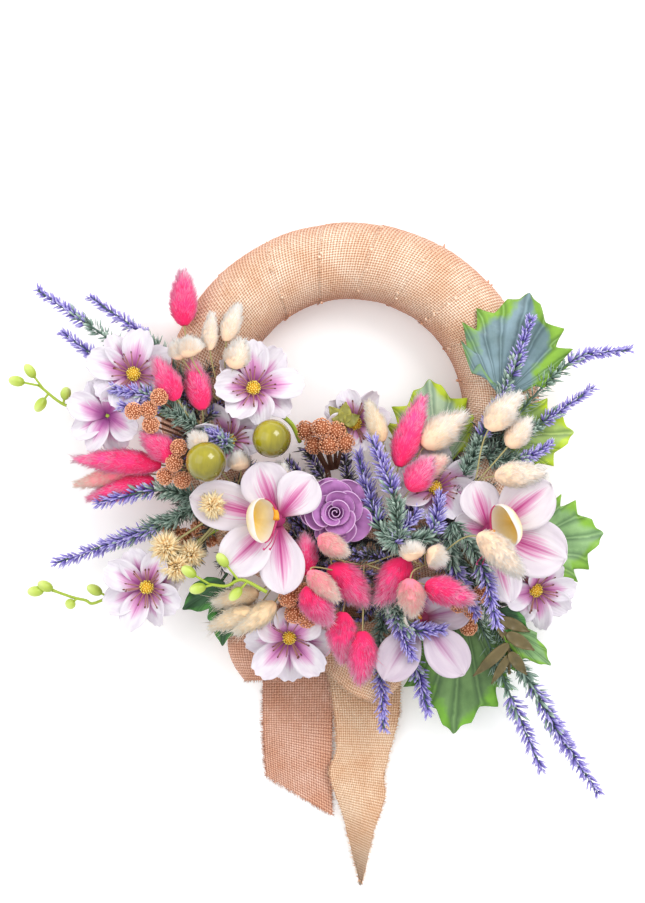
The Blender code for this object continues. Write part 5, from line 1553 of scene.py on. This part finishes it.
# Each whorl has its petals' number, the height of their roots, their reach, the height of their rims, and
# the heading of the first.
ROSE_WHORLS = [(2, 8, 10, 15, 10), (3, 5, 15, 13, 50), (4, 2, 20.5, 10, 5), (5, -1, 25, 6, 36)]
# Dyed wood shaving: soft purple with a fine grain, painted darker towards each petal's root as the shade
# between the whorls, and a painted highlight on its pale rim.
rose_purple = petal_material(
    "dyed_wood_shaving_petal", "CC8CCC", "B06CB2", "864886", "5A2C60", reach=0.6, lines=18, narrow=0.1,
    streaky=0.5, rim="ECC6EC",
)
hub = span_of("rose")[1] - ROSE_DEPTH
parts = []
for count, root_height, outer, rim_height, turn in ROSE_WHORLS:
    for i in range(count):
        heading = math.radians(turn + 360 / count * i + rng.normal(0, 7))
        half, tone, far = math.pi / count * 1.2, rng.random(), outer * rng.uniform(0.88, 1.04)

        def surface(u, v):
            w, v = 2 * u - 1, np.sin(v * math.pi / 2)
            away = 1.5 + (far - 1.5) * v
            beyond = ((v - 0.45) / 0.55).clip(0, 1)
            wide = np.sin((v / 0.45).clip(0, 1) * math.pi / 2) ** 0.6 * np.sqrt(1 - beyond**2.6)
            angle = heading + w * half * wide
            z = root_height + (rim_height - root_height) * v**1.2 + (tone - 0.5) * 5 * v
            z += w * 2.2 + 1.5 * w**2 * v - 18 * np.maximum(v - 0.75, 0) ** 2
            return np.column_stack([away * np.cos(angle), away * np.sin(angle), z])

        parts.append(blade(20, 18, surface, SHAVING, rose_purple, tone))


def heart_spiral(u, v):
    """The rolled shaving at the rose's heart."""
    turn, z = u * 2.6 * math.tau, v * 12
    away = (1.0 + 6.2 * u) * (1 - 0.28 * v + 0.2 * v**3)
    return np.column_stack([away * np.cos(turn), away * np.sin(turn), 3 + z * (1 - 0.25 * u)])


parts.append(blade(90, 10, heart_spiral, 0.5, rose_purple, 0.8))
parts.append(cone((6, 2.4), 12, 3, (0.4, 0.1, 0.9), rose_purple, segments=16))
piece("rose_bloom", turned_by(parts, Matrix.Translation((*ROSE, hub))), "rose")


# Berries. Two large lacquered olive-green berries with faint upright lines, painted lighter and yellower on the
# side that faces up towards the light and darker on the other, and with a small dark tip.

BERRIES = {"berry_left": ((-93, -33), 13), "berry_right": ((-51, -18), 12.5)}
TIP_RADIUS = 1.1
# The way that the painted light comes from.
LIT_SIDE = (-0.4, 0.5, 0.77)
# Lacquer over olive-green skin: a clear coat with sharp highlights, over soft upright lines.
berry_skin = new_material("lacquered_green_berry")
place = add(berry_skin, "TexCoord", output="Object")
stretched = add(berry_skin, "VectorMath", {0: place, 1: (420, 70, 420)}, operation="MULTIPLY")
fine = add(berry_skin, "TexNoise", {"Vector": stretched, "Scale": 1, "Detail": 3})
broad = add(berry_skin, "TexNoise", {"Vector": place, "Scale": 50, "Detail": 2})
spot = add(berry_skin, "Attribute", attribute_name="spot", output="Vector")
# Painted light: the skin is lighter and yellower the more a point faces the lit side.
lit_share = add(berry_skin, "SeparateXYZ", {0: spot}, output="X")
fine = add(berry_skin, "Math", {0: fine, 1: 0.25, 2: -0.35}, operation="MULTIPLY_ADD")
tone = add(berry_skin, "Math", {0: lit_share, 1: 0.8, 2: fine}, operation="MULTIPLY_ADD")
tone = add(berry_skin, "Math", {0: broad, 1: 0.4, 2: tone}, operation="MULTIPLY_ADD")
colour = add(berry_skin, "ValToRGB", {"Fac": tone}, stops=[(0.1, "3A3800"), (0.5, "7A7200"), (0.9, "B4A810")])
shade(berry_skin, {
    "Base Color": colour, "Roughness": 0.25, "Coat Weight": 0.8, "Coat Roughness": 0.03, "IOR": 1.45,
    "Specular IOR Level": 0.4,
})
for node, (middle, radius) in BERRIES.items():
    bm = bmesh.new()
    bmesh.ops.create_uvsphere(bm, u_segments=40, v_segments=24, radius=radius)
    tip = Matrix.Translation((radius * 0.5, -radius * 0.6, radius * 0.62))
    bmesh.ops.create_icosphere(bm, subdivisions=2, radius=TIP_RADIUS, matrix=tip)
    points, faces = read(as_mesh("berry", bm))
    # Each point's share of painted light, from how far it faces the lit side.
    lit_share = points @ LIT_SIDE / radius / 2 + 0.5
    parts = [(points, faces, np.column_stack([lit_share, lit_share, lit_share]), berry_skin)]
    place = Matrix.Translation((*middle, sum(span_of(node)) / 2))
    piece(node + "_glossy", turned_by(parts, place), node)


# Bud sprays. Smooth yellow-green stems that carry plump buds, each cleft down its middle, on short stalks.

# Each spray has the bends of its stem, and each bud's tip and the share of the stem where its stalk joins.
BUDS = {
    "buds_upper_left": (
        [(-205, 17), (-187, 4), (-168, 3), (-112, -4)],
        [((-225, 21), 0), ((-214, 31), 0.06), ((-186, 16), 0.22), ((-207, 0), 0.1)],
    ),
    "buds_lower_left": (
        [(-197, -118), (-176, -124), (-159, -122), (-82, -74)],
        [((-213, -119), 0), ((-206, -113), 0.05), ((-187, -129), 0.14), ((-173, -115), 0.3)],
    ),
    "buds_middle": (
        [(-91, -112), (-80, -113), (-70, -109), (-54, -117)],
        [((-109, -101), 0), ((-104, -116), 0.1), ((-86, -92), 0.5), ((-78, -122), 0.7)],
    ),
}
BUD_LENGTH = 11
BUD_WIDTH = 7.2
bud_tones = [(0.0, "92A836"), (0.5, "B2C650"), (1.0, "CEDE80")]
bud_green = tinted_material("waxy_green_bud", bud_tones, roughness=0.4, grain=160)
for node, (bends, buds) in BUDS.items():
    tree = solid(node)
    line = followed(tree, curve_through(bends)[::-1])[::-1]
    parts = [stems([(line, np.linspace(0.9, 1.25, len(line)))], fresh_green, 0.4, 2)]
    for tip, share in buds:
        joint = line[int(share * (len(line) - 1))]
        start = np.array([*tip, joint[2] + 1.5])
        inward = joint - start
        head = min(BUD_LENGTH, 0.75 * np.linalg.norm(inward))
        inward /= np.linalg.norm(inward)
        foot = start + inward * head
        stalk = curve_through([start + inward * head * 0.9, (foot + joint) / 2 + (0, 0, 0.6), joint], 1.5)
        parts.append(stems([(stalk, 0.75)], fresh_green, 0.4, 2))
        bm = bmesh.new()
        bmesh.ops.create_uvsphere(bm, u_segments=20, v_segments=12, radius=0.5)
        points, faces = read(as_mesh("bud", bm))
        turn = np.arctan2(points[:, 1], points[:, 0])
        cleft = BUD_WIDTH * (1 - 0.2 * np.exp(-((np.sin(turn) / 0.25) ** 2)))
        shape = points * np.column_stack([cleft, cleft, np.full(len(points), head)])
        along = points[:, 2] + 0.5
        turned = upright(-inward[None], np.array([rng.random() * 3]))[0]
        placed = shape @ turned.T + start + inward * head / 2
        parts.append((placed, faces, np.column_stack([along, along, np.full(len(points), 0.5)]), bud_green))
    piece(node + "_spray", parts, node)
